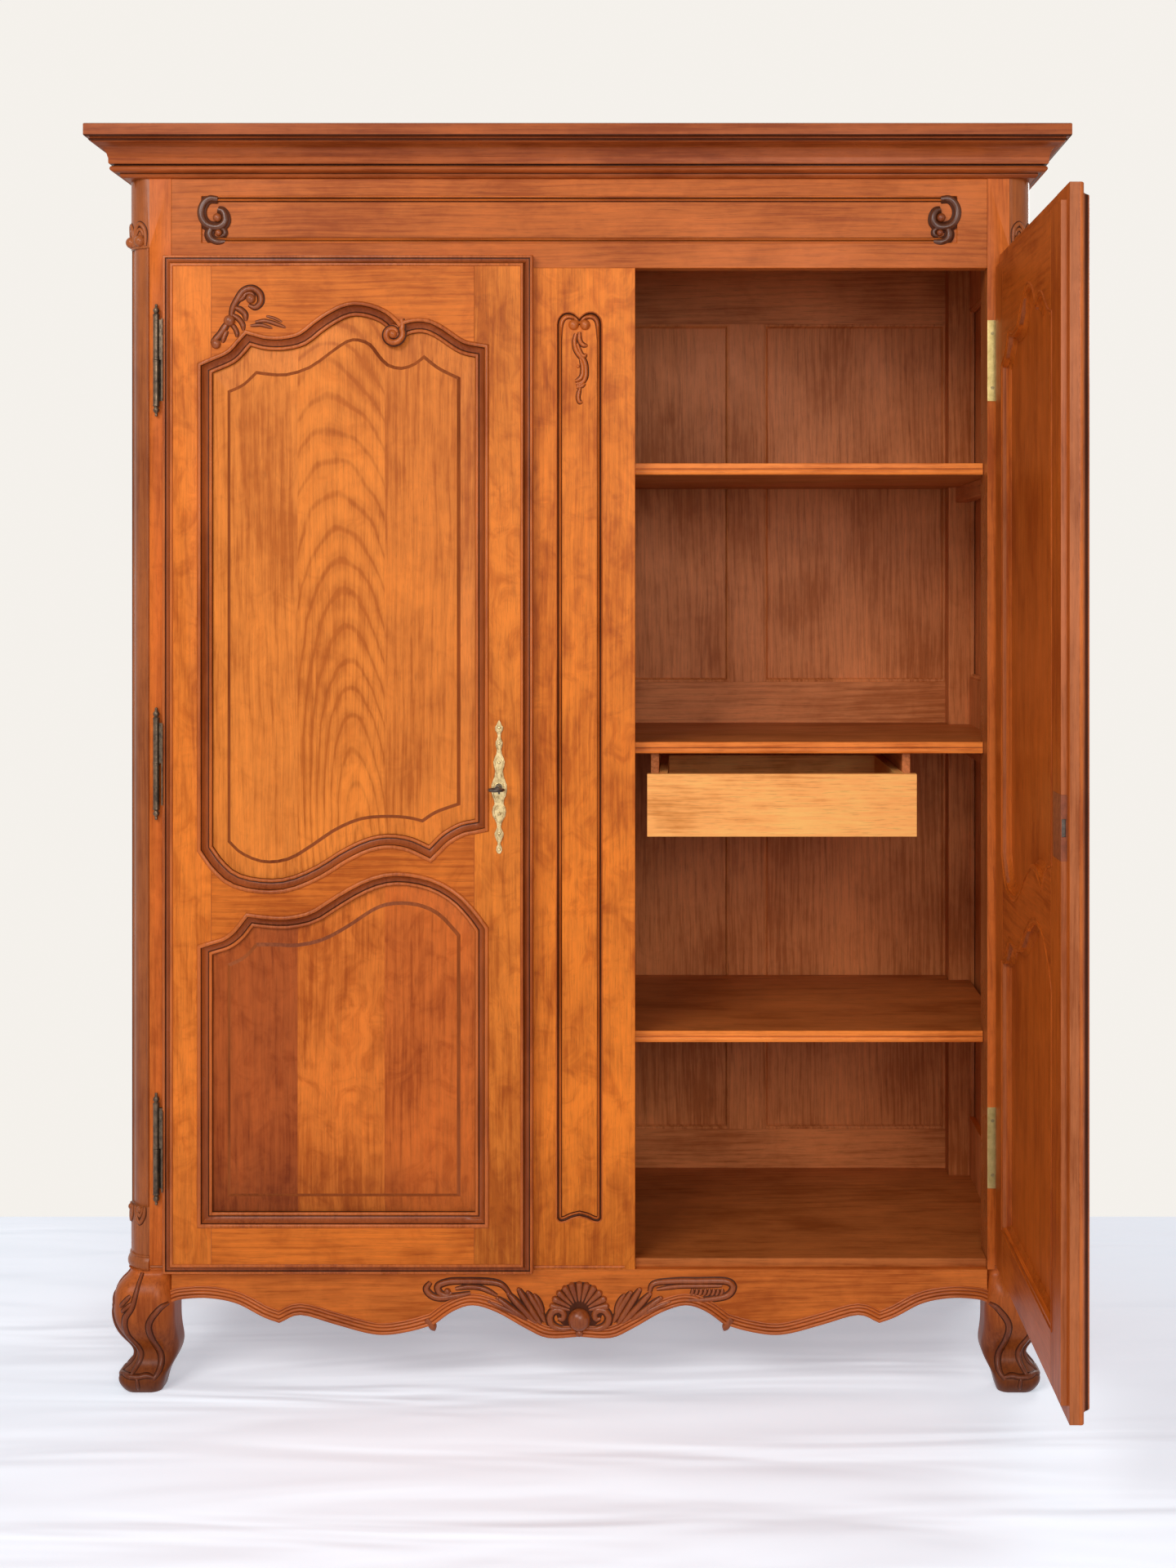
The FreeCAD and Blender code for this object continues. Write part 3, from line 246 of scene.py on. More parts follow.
trim_woods = {run: [moulding_wood[run], cove_shade_wood[run], groove_shade_wood] for run in GRAIN_TURNS}
cornice_wood = waxed_wood("cornice_cherry", (0.385, 0.086, 0.017), "level", figure=0.2, gloss=0.34,
                          shine=0.14)
# The round column is darker than the flat strip beside it: partly its own tone, partly painted shade on the
# round.
column_tone_and_shade_wood = waxed_wood("column_tone_and_shade_cherry", (0.34, 0.088, 0.02), figure=0.3, gloss=0.28, shine=0.24, rings=0.06)
carved_wood = waxed_wood("carved_cherry", (0.3, 0.07, 0.015), gloss=0.24, shine=0.34, **TRIM)
husk_wood = waxed_wood("husk_cherry", (0.52, 0.124, 0.018), gloss=0.26, shine=0.3, **TRIM)
scroll_wood = waxed_wood("dark_scroll_cherry", (0.12, 0.034, 0.012), gloss=0.24, shine=0.4, **TRIM)
# The feet and their ridges darken towards the toe: painted shade.
foot_wood = waxed_wood("foot_cherry", (0.5, 0.112, 0.017), figure=0.3, gloss=0.32, shine=0.18, rings=0.06,
                       toe=(0.01, 0.2, 0.3))
ridge_wood = waxed_wood("foot_ridge_cherry", (0.26, 0.056, 0.012), gloss=0.3, shine=0.26,
                        toe=(0.01, 0.19, 0.6), **TRIM)
inside_wood = in_all_runs("inside_wood", (0.6, 0.19, 0.056), figure=0.3, gloss=0.45)
shelf_wood = waxed_wood("shelf_wood", (0.45, 0.126, 0.026), "level", figure=0.3, gloss=0.42)
shelf_edge_wood = waxed_wood("shelf_edge_cherry", (0.86, 0.236, 0.038), "level", figure=0.2)
door_back_wood = in_all_runs("door_back", (0.43, 0.09, 0.009), shift=(0.3, 0.2, 0.1), figure=0.3)
drawer_wood = in_all_runs("drawer_wood", (0.99, 0.42, 0.115), figure=0.06, gloss=0.5, rings=0.08)
door_edge_wood = waxed_wood("door_edge_cherry", (0.4, 0.115, 0.036), figure=0.3)
# Dark finish on the sloped edge of each raised field: painted shade.
field_slope_shade_wood = waxed_wood("field_slope_shade_cherry", (0.3, 0.07, 0.013), figure=0.3, shine=0.24, rings=0.06)
PANEL_LOOKS = {"upper": {"figure": 0.45}, "lower": {"figure": 0.95, "toe": (0.262, 0.42, 0.6)}}
panel_boards = {"upper": [], "lower": []}
for level, name, colour, rise, log, tilt, rings in (
        ("upper", "lock_side", (0.67, 0.184, 0.025), 0.2, (0.05, 0.42), 0.03, 0.16),
        ("upper", "middle", (0.71, 0.2, 0.027), 0, (0.27, 0.086), 0.22, 0.36),
        ("upper", "hinge_side", (0.7, 0.2, 0.029), 0.5, (0.66, 0.45), 0.03, 0.16),
        ("lower", "lock_side", (0.54, 0.118, 0.016), 0.7, (0.05, 0.42), 0.03, 0.16),
        ("lower", "middle", (0.66, 0.165, 0.021), 0.4, (0.3, 0.42), 0.05, 0.16),
        ("lower", "hinge_side", (0.38, 0.078, 0.013), 0.9, (0.66, 0.45), 0.03, 0.16)):
    panel_boards[level].append(waxed_wood(level + "_board_" + name, colour, shift=(0, 0, rise), log=log,
                                          tilt=tilt, rings=rings, **PANEL_LOOKS[level]))


def aged_metal(name, bright, dull, metallic, smooth, rough, scale):
    """Old metal with tarnish clouds and fine scratches."""
    material, tree, shader = blank_finish(name)
    spot = object_spot(tree)
    tarnish = noise(spot, scale, 5, 0.65)
    grit = noise(laid(spot, (1, 1, 0.4)), scale * 9, 3)
    fill(shader, {"Base Color": ramp(tarnish, (0.34, dull), (0.62, bright)),
                  "Roughness": ramp(tarnish, (0.3, rough), (0.7, smooth)),
                  "Normal": dented(grit, 0.2, 0.0004), "Metallic": metallic})
    return material


gilt_brass = aged_metal("gilt_brass", (0.72, 0.55, 0.28), (0.34, 0.23, 0.1), 0.8, 0.26, 0.5, 140.0)
leaf_brass = aged_metal("leaf_brass", (0.76, 0.6, 0.24), (0.5, 0.36, 0.12), 0.8, 0.26, 0.44, 60.0)
barrel_bronze = aged_metal("barrel_bronze", (0.17, 0.11, 0.065), (0.05, 0.034, 0.024), 0.7, 0.3, 0.5, 110.0)
dark_iron = aged_metal("dark_iron", (0.13, 0.1, 0.08), (0.04, 0.032, 0.028), 0.8, 0.34, 0.6, 110.0)
browned_iron = aged_metal("browned_iron", (0.25, 0.055, 0.012), (0.17, 0.036, 0.008), 0.15, 0.45, 0.6, 110.0)
screw_brass = aged_metal("screw_brass", (0.46, 0.36, 0.16), (0.22, 0.16, 0.07), 0.85, 0.3, 0.5, 200.0)


# Ways of making a piece
BOARD_EASE = 0.0012


def face_outward(shape):
    bmesh.ops.recalc_face_normals(shape, faces=shape.faces)


def weld(shape):
    """Merge points that lie on each other."""
    bmesh.ops.remove_doubles(shape, verts=shape.verts, dist=MERGE)


def settle(name, shape, finishes, body="carcass", slot="case_wood", stands_for=(), crease=40):
    """Turn a bmesh into a finished piece on its body."""
    face_outward(shape)
    mesh = bpy.data.meshes.new(name)
    shape.to_mesh(mesh)
    shape.free()
    piece = bpy.data.objects.new(name, mesh)
    scene.collection.objects.link(piece)
    for finish in finishes:
        mesh.materials.append(finish)
    mesh.shade_smooth()
    mesh.set_sharp_from_angle(angle=math.radians(crease))
    piece.modifiers.new("even_shading", "WEIGHTED_NORMAL").keep_sharp = True
    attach(piece, body)
    if stands_for:
        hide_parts(*stands_for)


def merged_copy(node, flat=True):
    """A node's mesh with its loose triangles merged and, on flat pieces, its faces joined."""
    shape = bmesh.new()
    shape.from_mesh(nodes[node].data)
    weld(shape)
    if flat:
        bmesh.ops.dissolve_limit(shape, angle_limit=math.radians(1), verts=shape.verts, edges=shape.edges)
    return shape


def soften(shape, edges, width, segments=2):
    bmesh.ops.bevel(shape, geom=edges, offset=width, offset_type="OFFSET", affect="EDGES", segments=segments,
                    profile=0.5, material=-1, clamp_overlap=True)


def ease(shape, width, angle=35, segments=2):
    """Round the sharp edges a little, as hand planing and wear leave them."""
    soften(shape, [edge for edge in shape.edges if len(edge.link_faces) == 2
                   and edge.calc_face_angle(0) > math.radians(angle)], width, segments)
    return shape


def eased_board(node, finish, body, slot, width=BOARD_EASE):
    """A board with softly eased edges in place of the sharp one."""
    settle(node + "_eased", ease(merged_copy(node), width), [finish], body, slot, [node])


def smooth_run(points, steps):
    """Even points on a smooth curve through the given points."""
    if len(points) == 2:
        return [points[0].lerp(points[1], step / steps) for step in range(steps + 1)]
    padded = [2 * points[0] - points[1]] + list(points) + [2 * points[-1] - points[-2]]
    spans = len(points) - 1
    run = []
    for step in range(steps + 1):
        span = min(int(step * spans / steps), spans - 1)
        t = step * spans / steps - span
        a, b, c, d = padded[span:span + 4]
        run.append(0.5 * (2 * b + (c - a) * t + (2 * a - 5 * b + 4 * c - d) * t * t
                          + (3 * b - a - 3 * c + d) * t * t * t))
    return run


def joined(stretches):
    """One row of points from stretches that share their ends."""
    row = list(stretches[0])
    for stretch in stretches[1:]:
        row += stretch[1:] if (stretch[0] - row[-1]).length < MERGE else stretch
    return row


LONGEST_MITRE = 1.9
CORNER_TURN = math.radians(15)


def mitres(path, closed):
    """Outward directions at each point, lengthened at corners so that widths hold."""
    count = len(path)
    out = []
    for index in range(count):
        before = path[index] - path[index - 1] if closed or index else path[1] - path[0]
        after = path[(index + 1) % count] - path[index] if closed or index < count - 1 else before
        first = Vector((before.y, -before.x)).normalized()
        second = Vector((after.y, -after.x)).normalized()
        middle = first + second
        longest = LONGEST_MITRE / max(middle.length, MERGE)
        out.append(middle * min(2 / max(middle.length_squared, MERGE), longest))
    return out


def corners(path):
    """Numbers of the points at which a closed outline turns sharply."""
    return [index for index, point in enumerate(path)
            if (point - path[index - 1]).angle(path[(index + 1) % len(path)] - point) > CORNER_TURN]


def cleared(path, reach):
    """A closed outline without the points that crowd its corners."""
    sharp = [path[index] for index in corners(path)]
    return [point for point in path if not any(MERGE < (point - corner).length < reach for corner in sharp)]


def shifted(path, reach):
    """A closed outline moved outward, with the points that would cross at a corner gathered on it."""
    moved = [point + direction * reach for point, direction in zip(path, mitres(path, True))]
    count = len(path)
    for index in corners(path):
        for way in (-1, 1):
            step = way
            while (path[(index + step) % count] - path[index]).length < abs(reach):
                moved[(index + step) % count] = moved[index].copy()
                step += way
    return moved


def loft(shape, rings, shades):
    """Extrude a closed ring of points from place to place and give back its first and last ring.

    Each stretch of the ring takes its finish from the shades."""
    first_ring = ring = [shape.verts.new(point) for point in rings[0]]
    edges = [shape.edges.new(pair) for pair in zip(ring, ring[1:] + ring[:1])]
    for points in rings[1:]:
        grown = set(bmesh.ops.extrude_edge_only(shape, edges=edges)["geom"])
        following = [next(edge.other_vert(vert) for edge in vert.link_edges if edge.other_vert(vert) in grown)
                     for vert in ring]
        for vert, point in zip(following, points):
            vert.co = point
        edges = [shape.edges.get(pair) for pair in zip(following, following[1:] + following[:1])]
        for edge, shade in zip(edges, shades):
            edge.link_faces[0].material_index = shade
        ring = following
    return first_ring, ring


def carry(shape, path, section, place, closed=False, sizes=None, tones=0):
    """Carry a closed section of (outward, upward) points along a path, with a size at each station."""
    stations = list(zip(path, mitres(path, closed), sizes or [1] * len(path)))
    if closed:
        stations.append(stations[0])
    shades = tones if isinstance(tones, (list, tuple)) else [tones] * len(section)
    ends = loft(shape, [[place(point + direction * out * size, up * size) for out, up in section]
                        for point, direction, size in stations], shades)
    if closed:
        bmesh.ops.remove_doubles(shape, verts=ends[0] + ends[1], dist=MERGE)
    else:
        for end in ends:
            shape.faces.new(end).material_index = shades[0]
    return shape


def on_face(level, way=-1):
    """A place on an upright face: across, up, and out from the face to the front, or with 1 to the back."""
    return lambda point, up: Vector((point.x, level + way * up, point.y))


def in_plan(level=0):
    """A place on the plan, raised above a level."""
    return lambda point, up: Vector((point.x, point.y, level + up))


def scaled(rows):
    return [(a * MM, b * MM) for a, b in rows]


strand_section = [(math.cos(math.pi * step / 6), math.sin(math.pi * step / 6)) for step in range(7)]
strand_section += [(-1, -0.7), (1, -0.7)]


def strand(shape, points, width, place, ends=(0.35, 0.35), tall=1.0, steps=7, tone=0):
    """A carved strand along a smooth curve given in millimetres, thinned towards its ends."""
    path = smooth_run([Vector(point) * MM for point in points], steps * (len(points) - 1))
    last = len(path) - 1
    sizes = []
    for step in range(last + 1):
        near = max(0, 1 - 3 * step / last) ** 2 * (1 - ends[0])
        far = max(0, 1 - 3 * (last - step) / last) ** 2 * (1 - ends[1])
        sizes.append(width * MM * (1 - near - far))
    carry(shape, path, [(out, up * tall) for out, up in strand_section], place, sizes=sizes, tones=tone)


# A low, wider dark strip under each carved strand: painted shade round the carving.
SHADE_BED_SPREAD = 1.45
SHADE_BED_RISE = 0.2


def carved(shape, points, width, place, tall=1.0, tone=0, bed=1, **manner):
    """A carved strand over a low, wider strip in a dark finish unless bed is None; the dark strip is painted
    shade round the strand.
    """
    if bed is not None:
        strand(shape, points, width * SHADE_BED_SPREAD, place, tall=SHADE_BED_RISE, tone=bed, **manner)
    strand(shape, points, width, place, tall=tall, tone=tone, **manner)


def carve_all(shape, lines, place, fullness=1, start=(0, 0), way=1, **manner):
    """Carve a pattern of (width, points) lines from a start, running either way across."""
    for width, points in lines:
        moved = [(start[0] + way * x, start[1] + z) for x, z in points]
        carved(shape, moved, width * fullness, place, **manner)


def spiral(centre, start, end, angle, turn, count=14):
    """Points of a curl in millimetres, from one radius and angle through a turn to another radius."""
    rows = []
    for share in (step / count for step in range(count + 1)):
        radius = start + (end - start) * share
        rows.append((centre[0] + radius * math.cos(angle + turn * share),
                     centre[1] + radius * math.sin(angle + turn * share)))
    return rows


def toned(made, tone):
    """Give a finish to the faces of what was just made."""
    for face in {face for vert in made["verts"] for face in vert.link_faces}:
        face.material_index = tone


def ball(shape, place, x, z, radius, out=0, squash=1.0, tone=0):
    """A carved ball, in millimetres, flattened from front to back by the squash."""
    flat = Matrix.Translation(place(Vector((x, z)) * MM, out * MM)) @ Matrix.Diagonal((1, squash, 1, 1))
    made = bmesh.ops.create_uvsphere(shape, u_segments=20, v_segments=12, radius=radius * MM, matrix=flat)
    toned(made, tone)


TO_FRONT = Matrix.Rotation(QUARTER, 4, "X")


def rod(shape, place, radius, depth, turn=TO_FRONT, segments=24, tip=None, tone=0):
    """A round rod or disc about a place, turned from upright, its upper end as wide as the tip."""
    made = bmesh.ops.create_cone(shape, cap_ends=True, segments=segments, radius1=radius,
                                 radius2=tip or radius, depth=depth, matrix=Matrix.Translation(place) @ turn)
    toned(made, tone)


def turned(shape, profile, centre, tone=0, steps=28):
    """Turn a row of (radius, height) points, both ends on the axis, about an upright axis."""
    old = set(shape.faces)
    row = [shape.verts.new(centre + Vector((radius, 0, height))) for radius, height in profile]
    edges = [shape.edges.new(pair) for pair in zip(row, row[1:])]
    bmesh.ops.spin(shape, geom=row + edges, cent=centre, axis=(0, 0, 1), angle=2 * math.pi, steps=steps,
                   use_merge=True)
    made = [face for face in shape.faces if face not in old]
    for face in made:
        face.material_index = tone
    bmesh.ops.remove_doubles(shape, verts=list({vert for face in made for vert in face.verts}), dist=MERGE)


def block(shape, plan, low, high, eased=0.0, tone=0):
    """A box between two corners of the plan and two heights, with eased edges."""
    near, far = Vector((*plan[0], low)), Vector((*plan[1], high))
    made = bmesh.ops.create_cube(shape, size=1, matrix=Matrix.Translation((near + far) / 2)
                                 @ Matrix.Diagonal((*(far - near), 1)))
    toned(made, tone)
    if eased:
        soften(shape, list({edge for vert in made["verts"] for edge in vert.link_edges}), eased)


def prism(outline, front, back):
    """A closed block between two depths with the given outline."""
    shape = bmesh.new()
    rim = [shape.verts.new((point.x, front, point.y)) for point in outline]
    face = shape.faces.new(rim)
    grown = bmesh.ops.extrude_face_region(shape, geom=[face])["geom"]
    moved = [item for item in grown if isinstance(item, bmesh.types.BMVert)]
    bmesh.ops.translate(shape, verts=moved, vec=(0, back - front, 0))
    face_outward(shape)
    return shape


def add(shape, other):
    """Put another shape into this one."""
    held = bpy.data.meshes.new("held")
    other.to_mesh(held)
    other.free()
    shape.from_mesh(held)
    bpy.data.meshes.remove(held)


def rectangle(low_x, high_x, low_z, high_z):
    return [Vector(corner) for corner in (
        (low_x, low_z), (high_x, low_z), (high_x, high_z), (low_x, high_z))]


def on_side(shape, side, made="right"):
    """Mirror a piece that was made for the other side of the case."""
    if side != made:
        bmesh.ops.scale(shape, verts=shape.verts, vec=(-1, 1, 1))
        bmesh.ops.reverse_faces(shape, faces=shape.faces)
    return shape


def hang(shape, side):
    """Turn a piece made on a shut right-hand door into its place on either door."""
    if side == "right":
        bmesh.ops.rotate(shape, verts=shape.verts, cent=HINGE_AXIS, matrix=Matrix.Rotation(QUARTER, 3, "Z"))
    return on_side(shape, side)


def settle_on_door(side, name, shape, finishes, **rest):
    """Settle a piece made on a shut right-hand door on either door."""
    settle(side + "_" + name, hang(shape, side), finishes, side + "_door", **rest)


def carved_out(shape, cutter, name):
    """Take a cutter out of a shape and give back the result."""
    holders = []
    for label, part in ((name, shape), (name + "_cutter", cutter)):
        mesh = bpy.data.meshes.new(label)
        part.to_mesh(mesh)
        holders.append(bpy.data.objects.new(label, mesh))
        scene.collection.objects.link(holders[-1])
    cut = holders[0].modifiers.new("rebate", "BOOLEAN")
    cut.object = holders[1]
    cut.operation = "DIFFERENCE"
    cut.solver = "EXACT"
    held = holders[0].evaluated_get(bpy.context.evaluated_depsgraph_get())
    shape.clear()
    shape.from_mesh(held.to_mesh())
    held.to_mesh_clear()
    for holder in holders:
        bpy.data.objects.remove(holder)
    return shape


# Door outlines, on a shut right-hand door: X from the middle of the case, Z up
STEPS = 24


def panel_outline(level, top_shares, bottom_shares):
    """A panel's outline, anticlockwise from its lower lock corner."""
    top, top_scallop, bottom, bottom_scallop = PANEL_EDGES[level]
    low = [[(u, bottom + v * bottom_scallop) for u, v in reversed(stretch)]
           for stretch in reversed(bottom_shares)]
    high = [[(u, top - v * top_scallop) for u, v in stretch] for stretch in top_shares]
    return joined([smooth_run([Vector((HINGE_SIGHT - u * SIGHT_WIDTH, z)) for u, z in stretch], STEPS)
                   for stretch in low + high])


# Sight line and raised field of each panel
outlines = {
    "upper": (panel_outline("upper", upper_top_sight_shares, upper_bottom_sight_shares),
              panel_outline("upper", upper_top_field_shares, upper_bottom_field_shares)),
    "lower": (panel_outline("lower", lower_top_sight_shares, lower_bottom_sight_shares),
              panel_outline("lower", lower_top_field_shares, lower_bottom_field_shares)),
}
CUSP_REACH = 0.022
cusp_across, cusp_drop = upper_top_sight_shares[1][-1]
VOLUTE_CUSP = Vector((HINGE_SIGHT - cusp_across * SIGHT_WIDTH,
                      PANEL_EDGES["upper"][0] - cusp_drop * PANEL_EDGES["upper"][1]))
BOARD_JOINTS = (0.319, 0.462)


def moulding_path(level):
    """A panel's sight line, straightened close to the cusp that the volute covers."""
    return [point for point in outlines[level][0] if not MERGE < (point - VOLUTE_CUSP).length < CUSP_REACH]


# Sections of the mouldings, in millimetres: outward from the path, upward from the face
# Tones along a section: the moulding finish, then darker cove and groove finishes that paint shade into the
# hollows.
MOULD, COVE_SHADE, GROOVE_SHADE = 0, 1, 2
PANEL_MOULDING_WIDTH = 0.0235
panel_moulding_section = scaled((
    (24, -2), (23.6, 0.6), (22.8, 2.2), (21.4, 3.2), (19.8, 3.5), (18.2, 3.1), (17, 2), (16.4, 0.6),
    (16, -0.8), (14.6, -2.8), (12.6, -5.2), (10, -7.4), (7.6, -8.7), (6, -9), (5.6, -8), (4.6, -7),
    (3, -6.6), (1.4, -7.2), (0.4, -8.8), (0, -10.6), (0, -14.5), (24, -14.5)))
panel_moulding_tones = [GROOVE_SHADE] + [MOULD] * 5 + [GROOVE_SHADE] * 2 + [COVE_SHADE] * 4 + [GROOVE_SHADE] * 2 + [MOULD] * 4
panel_moulding_tones += [GROOVE_SHADE] * 4
LIP_WIDTH = 0.02
LIP_DEPTH = 0.014
lip_section = scaled((
    (-20.4, -3), (-20, 0.4), (-19, 1.8), (-17.4, 2.4), (-15.8, 1.8), (-14.8, 0), (-14.4, -1.6), (-13.6, -4.4),
    (-11.8, -7.4), (-9.4, -9.4), (-6.6, -10.4), (-5, -10.4), (-4.6, -9), (-3.4, -8.2), (-1.6, -8.4),
    (-0.4, -10), (0, -12.2), (0, -15), (-20.4, -15)))
lip_tones = [GROOVE_SHADE] + [MOULD] * 4 + [GROOVE_SHADE] * 2 + [COVE_SHADE] * 3 + [GROOVE_SHADE] * 2 + [MOULD] * 7
back_bead_section = scaled((
    (9, -1), (8.8, 0.9), (7.6, 1.7), (6.2, 1.4), (5.4, 0.2), (4.8, -0.8), (3.6, -1), (1.6, -3), (-0.4, -7),
    (-3, -10.4), (-6, -11.6), (-7, -13.9), (9, -13.9)))
frieze_bead_section = scaled((
    (0.6, -4.6), (0.6, 0.5), (-0.6, 1), (-2, 0.5), (-2.6, -2.4), (-3.4, -3), (-4.4, -0.6), (-6, 0.4),
    (-7.6, -0.6), (-8.6, -3), (-9.2, -4.6)))
post_bead_section = scaled((
    (0.6, -4.6), (0.6, 0.4), (-0.5, 0.9), (-1.6, 0.2), (-2.4, -2.2), (-4.2, -3.2), (-5.2, -1), (-6.6, 0),
    (-8, -1), (-8.8, -3.2), (-9.4, -4.6)))
bead_tones = [MOULD] * 3 + [GROOVE_SHADE] * 2 + [MOULD] * 3 + [GROOVE_SHADE] * 3
case_bead_section = scaled((
    (0, -8.4), (0, -1.2), (-1.4, -0.5), (-3.6, -0.9), (-5.4, -2.6), (-6, -5), (-7, -5.6), (-7.6, -8.4)))
cornice_section = scaled((
    (-14, 0), (2.5, 0), (5.6, 1.2), (7.8, 4.2), (7.6, 6.6), (12.6, 7), (17.4, 8), (20.6, 10.4), (21.4, 13),
    (20.4, 15.8), (17, 18), (14.4, 18.6), (14.6, 19.8), (21.6, 20.2), (22.8, 21.6), (22.9, 29.6), (23.6, 31),
    (24.8, 36), (27.6, 42), (32.2, 46.8), (38, 50), (44.4, 51.8), (45, 53), (47.4, 53.2), (48.6, 54.8),
    (47.6, 56.6), (46, 57), (46.4, 58.4), (52, 58.8), (54.2, 59.8), (55, 61.6), (55, 78.6), (53.6, 80),
    (-14, 80)))
cornice_tones = [MOULD] * 4 + [GROOVE_SHADE] + [MOULD] * 5 + [COVE_SHADE] + [GROOVE_SHADE] * 2 + [MOULD] * 3 + [COVE_SHADE] * 4
cornice_tones += [MOULD] * 2 + [COVE_SHADE] + [GROOVE_SHADE] * 2 + [MOULD] * 3 + [GROOVE_SHADE] * 2 + [MOULD] * 5
shelf_edge_section = scaled((
    (0, -2), (0, 0.4), (0.8, 1.2), (7.4, 1.3), (8.4, 0.8), (8.8, -0.6), (10.2, -0.6), (10.6, 0.8),
    (11.6, 1.6), (14.4, 2.1), (17.4, 1.5), (19, 0), (19, -2)))
apron_lip_section = scaled((
    (1.2, -9), (2.2, -2), (2, 1.6), (0.6, 3.4), (-1.6, 3.8), (-3.4, 2.8), (-4.2, 1), (-5, 2.2), (-6.6, 3),
    (-8.4, 2.4), (-9.4, 0.6), (-10.2, 1.6), (-11.6, 2.3), (-13.2, 1.8), (-14.2, 0.4), (-15, 1.2),
    (-16.2, 1.5), (-17.4, 0.8), (-18, -0.6), (-18, -9)))
apron_lip_tones = [MOULD] * 5 + [COVE_SHADE] * 2 + [MOULD] * 3 + [COVE_SHADE] * 2 + [MOULD] * 2 + [COVE_SHADE] * 2
apron_lip_tones += [MOULD] * 2 + [GROOVE_SHADE] * 2

# Door frames with their rebates, mouldings and fielded panels
LIP_OVERRUN = 0.02
DOOR_RIM = rectangle(DOOR_INNER, DOOR_OUTER, DOOR_BOTTOM, DOOR_TOP)
FRAME_PIECES = {"hinge_stile": "upright", "lock_stile": "upright", "top_rail": "level",
                "middle_rail": "level", "bottom_rail": "level"}
FRAME_EASE = 0.0007
# Directions from each door toward the inside of the case and toward its lock edge
DOOR_FACINGS = {"left": (Vector((0, 1, 0)), Vector((1, 0, 0))),
                "right": (Vector((-1, 0, 0)), Vector((0, -1, 0)))}
FACING = 0.5
BEAD_REACH = 0.016
MOULDING_CREASE = 50


def rebate_cutter(side):
    """What the mouldings take the place of: two openings and a band round the lip."""
    cutter = bmesh.new()
    for level in outlines:
        path = moulding_path(level)
        add(cutter, prism([p + d * PANEL_MOULDING_WIDTH for p, d in zip(path, mitres(path, True))],
                          DOOR_FRONT - LIP_OVERRUN, DOOR_FRONT + LIP_DEPTH))
    section = ((LIP_OVERRUN, -LIP_DEPTH), (-LIP_WIDTH, -LIP_DEPTH), (-LIP_WIDTH, LIP_OVERRUN),
               (LIP_OVERRUN, LIP_OVERRUN))
    carry(cutter, DOOR_RIM, section, on_face(DOOR_FRONT), True)
    face_outward(cutter)
    return hang(cutter, side)


def door_frame(side):
    inner, lockward = DOOR_FACINGS[side]
    for piece, run in FRAME_PIECES.items():
        node = side + "_" + piece
        shape = carved_out(ease(merged_copy(node), FRAME_EASE, segments=1), rebate_cutter(side), node)
        weld(shape)
        face_outward(shape)
        for face in shape.faces:
            if face.normal.dot(inner) > FACING:
                face.material_index = 1
            elif face.normal.dot(lockward) > FACING:
                face.material_index = 2
        grain = "deep" if run == "level" and side == "right" else run
        finishes = [stile_wood.get(piece, cherry[grain]), door_back_wood[grain], door_edge_wood]
        settle(node + "_moulded", shape, finishes, side + "_door", stands_for=[node], crease=25)


def door_mouldings(side):
    front = on_face(DOOR_FRONT)
    woods = trim_woods["upright"]
    rows = [("lip_moulding", DOOR_RIM, lip_section, front, lip_tones, woods)]
    for level in outlines:
        path = moulding_path(level)
        rows += [(level + "_moulding", path, panel_moulding_section, front, panel_moulding_tones, woods),
                 (level + "_back_bead", cleared(path, BEAD_REACH), back_bead_section, on_face(DOOR_INSIDE, 1),
                  0, [door_back_wood["upright"]])]
    for name, path, section, place, tones, finishes in rows:
        settle_on_door(side, name, carry(bmesh.new(), path, section, place, True, tones=tones), finishes,
                       crease=MOULDING_CREASE)


BORDER_RISE = 0.0024
FIELD_STEP = 0.0036
FIELD_CHAMFER = 0.0055
PANEL_TUCK = 0.0035
FIELD_CREASE = 0.5


def fielded_panel(side, level):
    """A panel with a sloped border and a raised field, glued up from three boards."""
    sight, field = outlines[level]
    boards = panel_boards[level]
    tucked = shifted(sight, PANEL_TUCK)
    border = PANEL_FRONT - BORDER_RISE
    rings = [[Vector((p.x, depth, p.y)) for p in outline] for outline, depth in (
        (tucked, PANEL_BACK), (tucked, PANEL_FRONT), (field, border),
        (shifted(field, -FIELD_CHAMFER), border - FIELD_STEP))]
    shape = bmesh.new()
    back_ring = loft(shape, rings[:3], [0] * len(sight))[0]
    # The field's slope takes the dark field-slope finish, which is painted shade.
    crown_ring = loft(shape, rings[2:], [len(boards)] * len(sight))[1]
    shape.faces.new(back_ring).material_index = len(boards) + 1
    shape.faces.new(crown_ring)
    weld(shape)
    face_outward(shape)
    for joint in BOARD_JOINTS:
        bmesh.ops.bisect_plane(shape, geom=shape.verts[:] + shape.edges[:] + shape.faces[:], dist=MERGE,
                               plane_co=(joint, 0, 0), plane_no=(1, 0, 0))
    for face in shape.faces:
        if face.material_index == 0:
            face.material_index = sum(face.calc_center_median().x > joint for joint in BOARD_JOINTS)
    finishes = boards + [field_slope_shade_wood, door_back_wood["upright"]]
    settle_on_door(side, level + "_panel_fielded", shape, finishes,
                   stands_for=[side + "_" + level + "_panel"], crease=FIELD_CREASE)


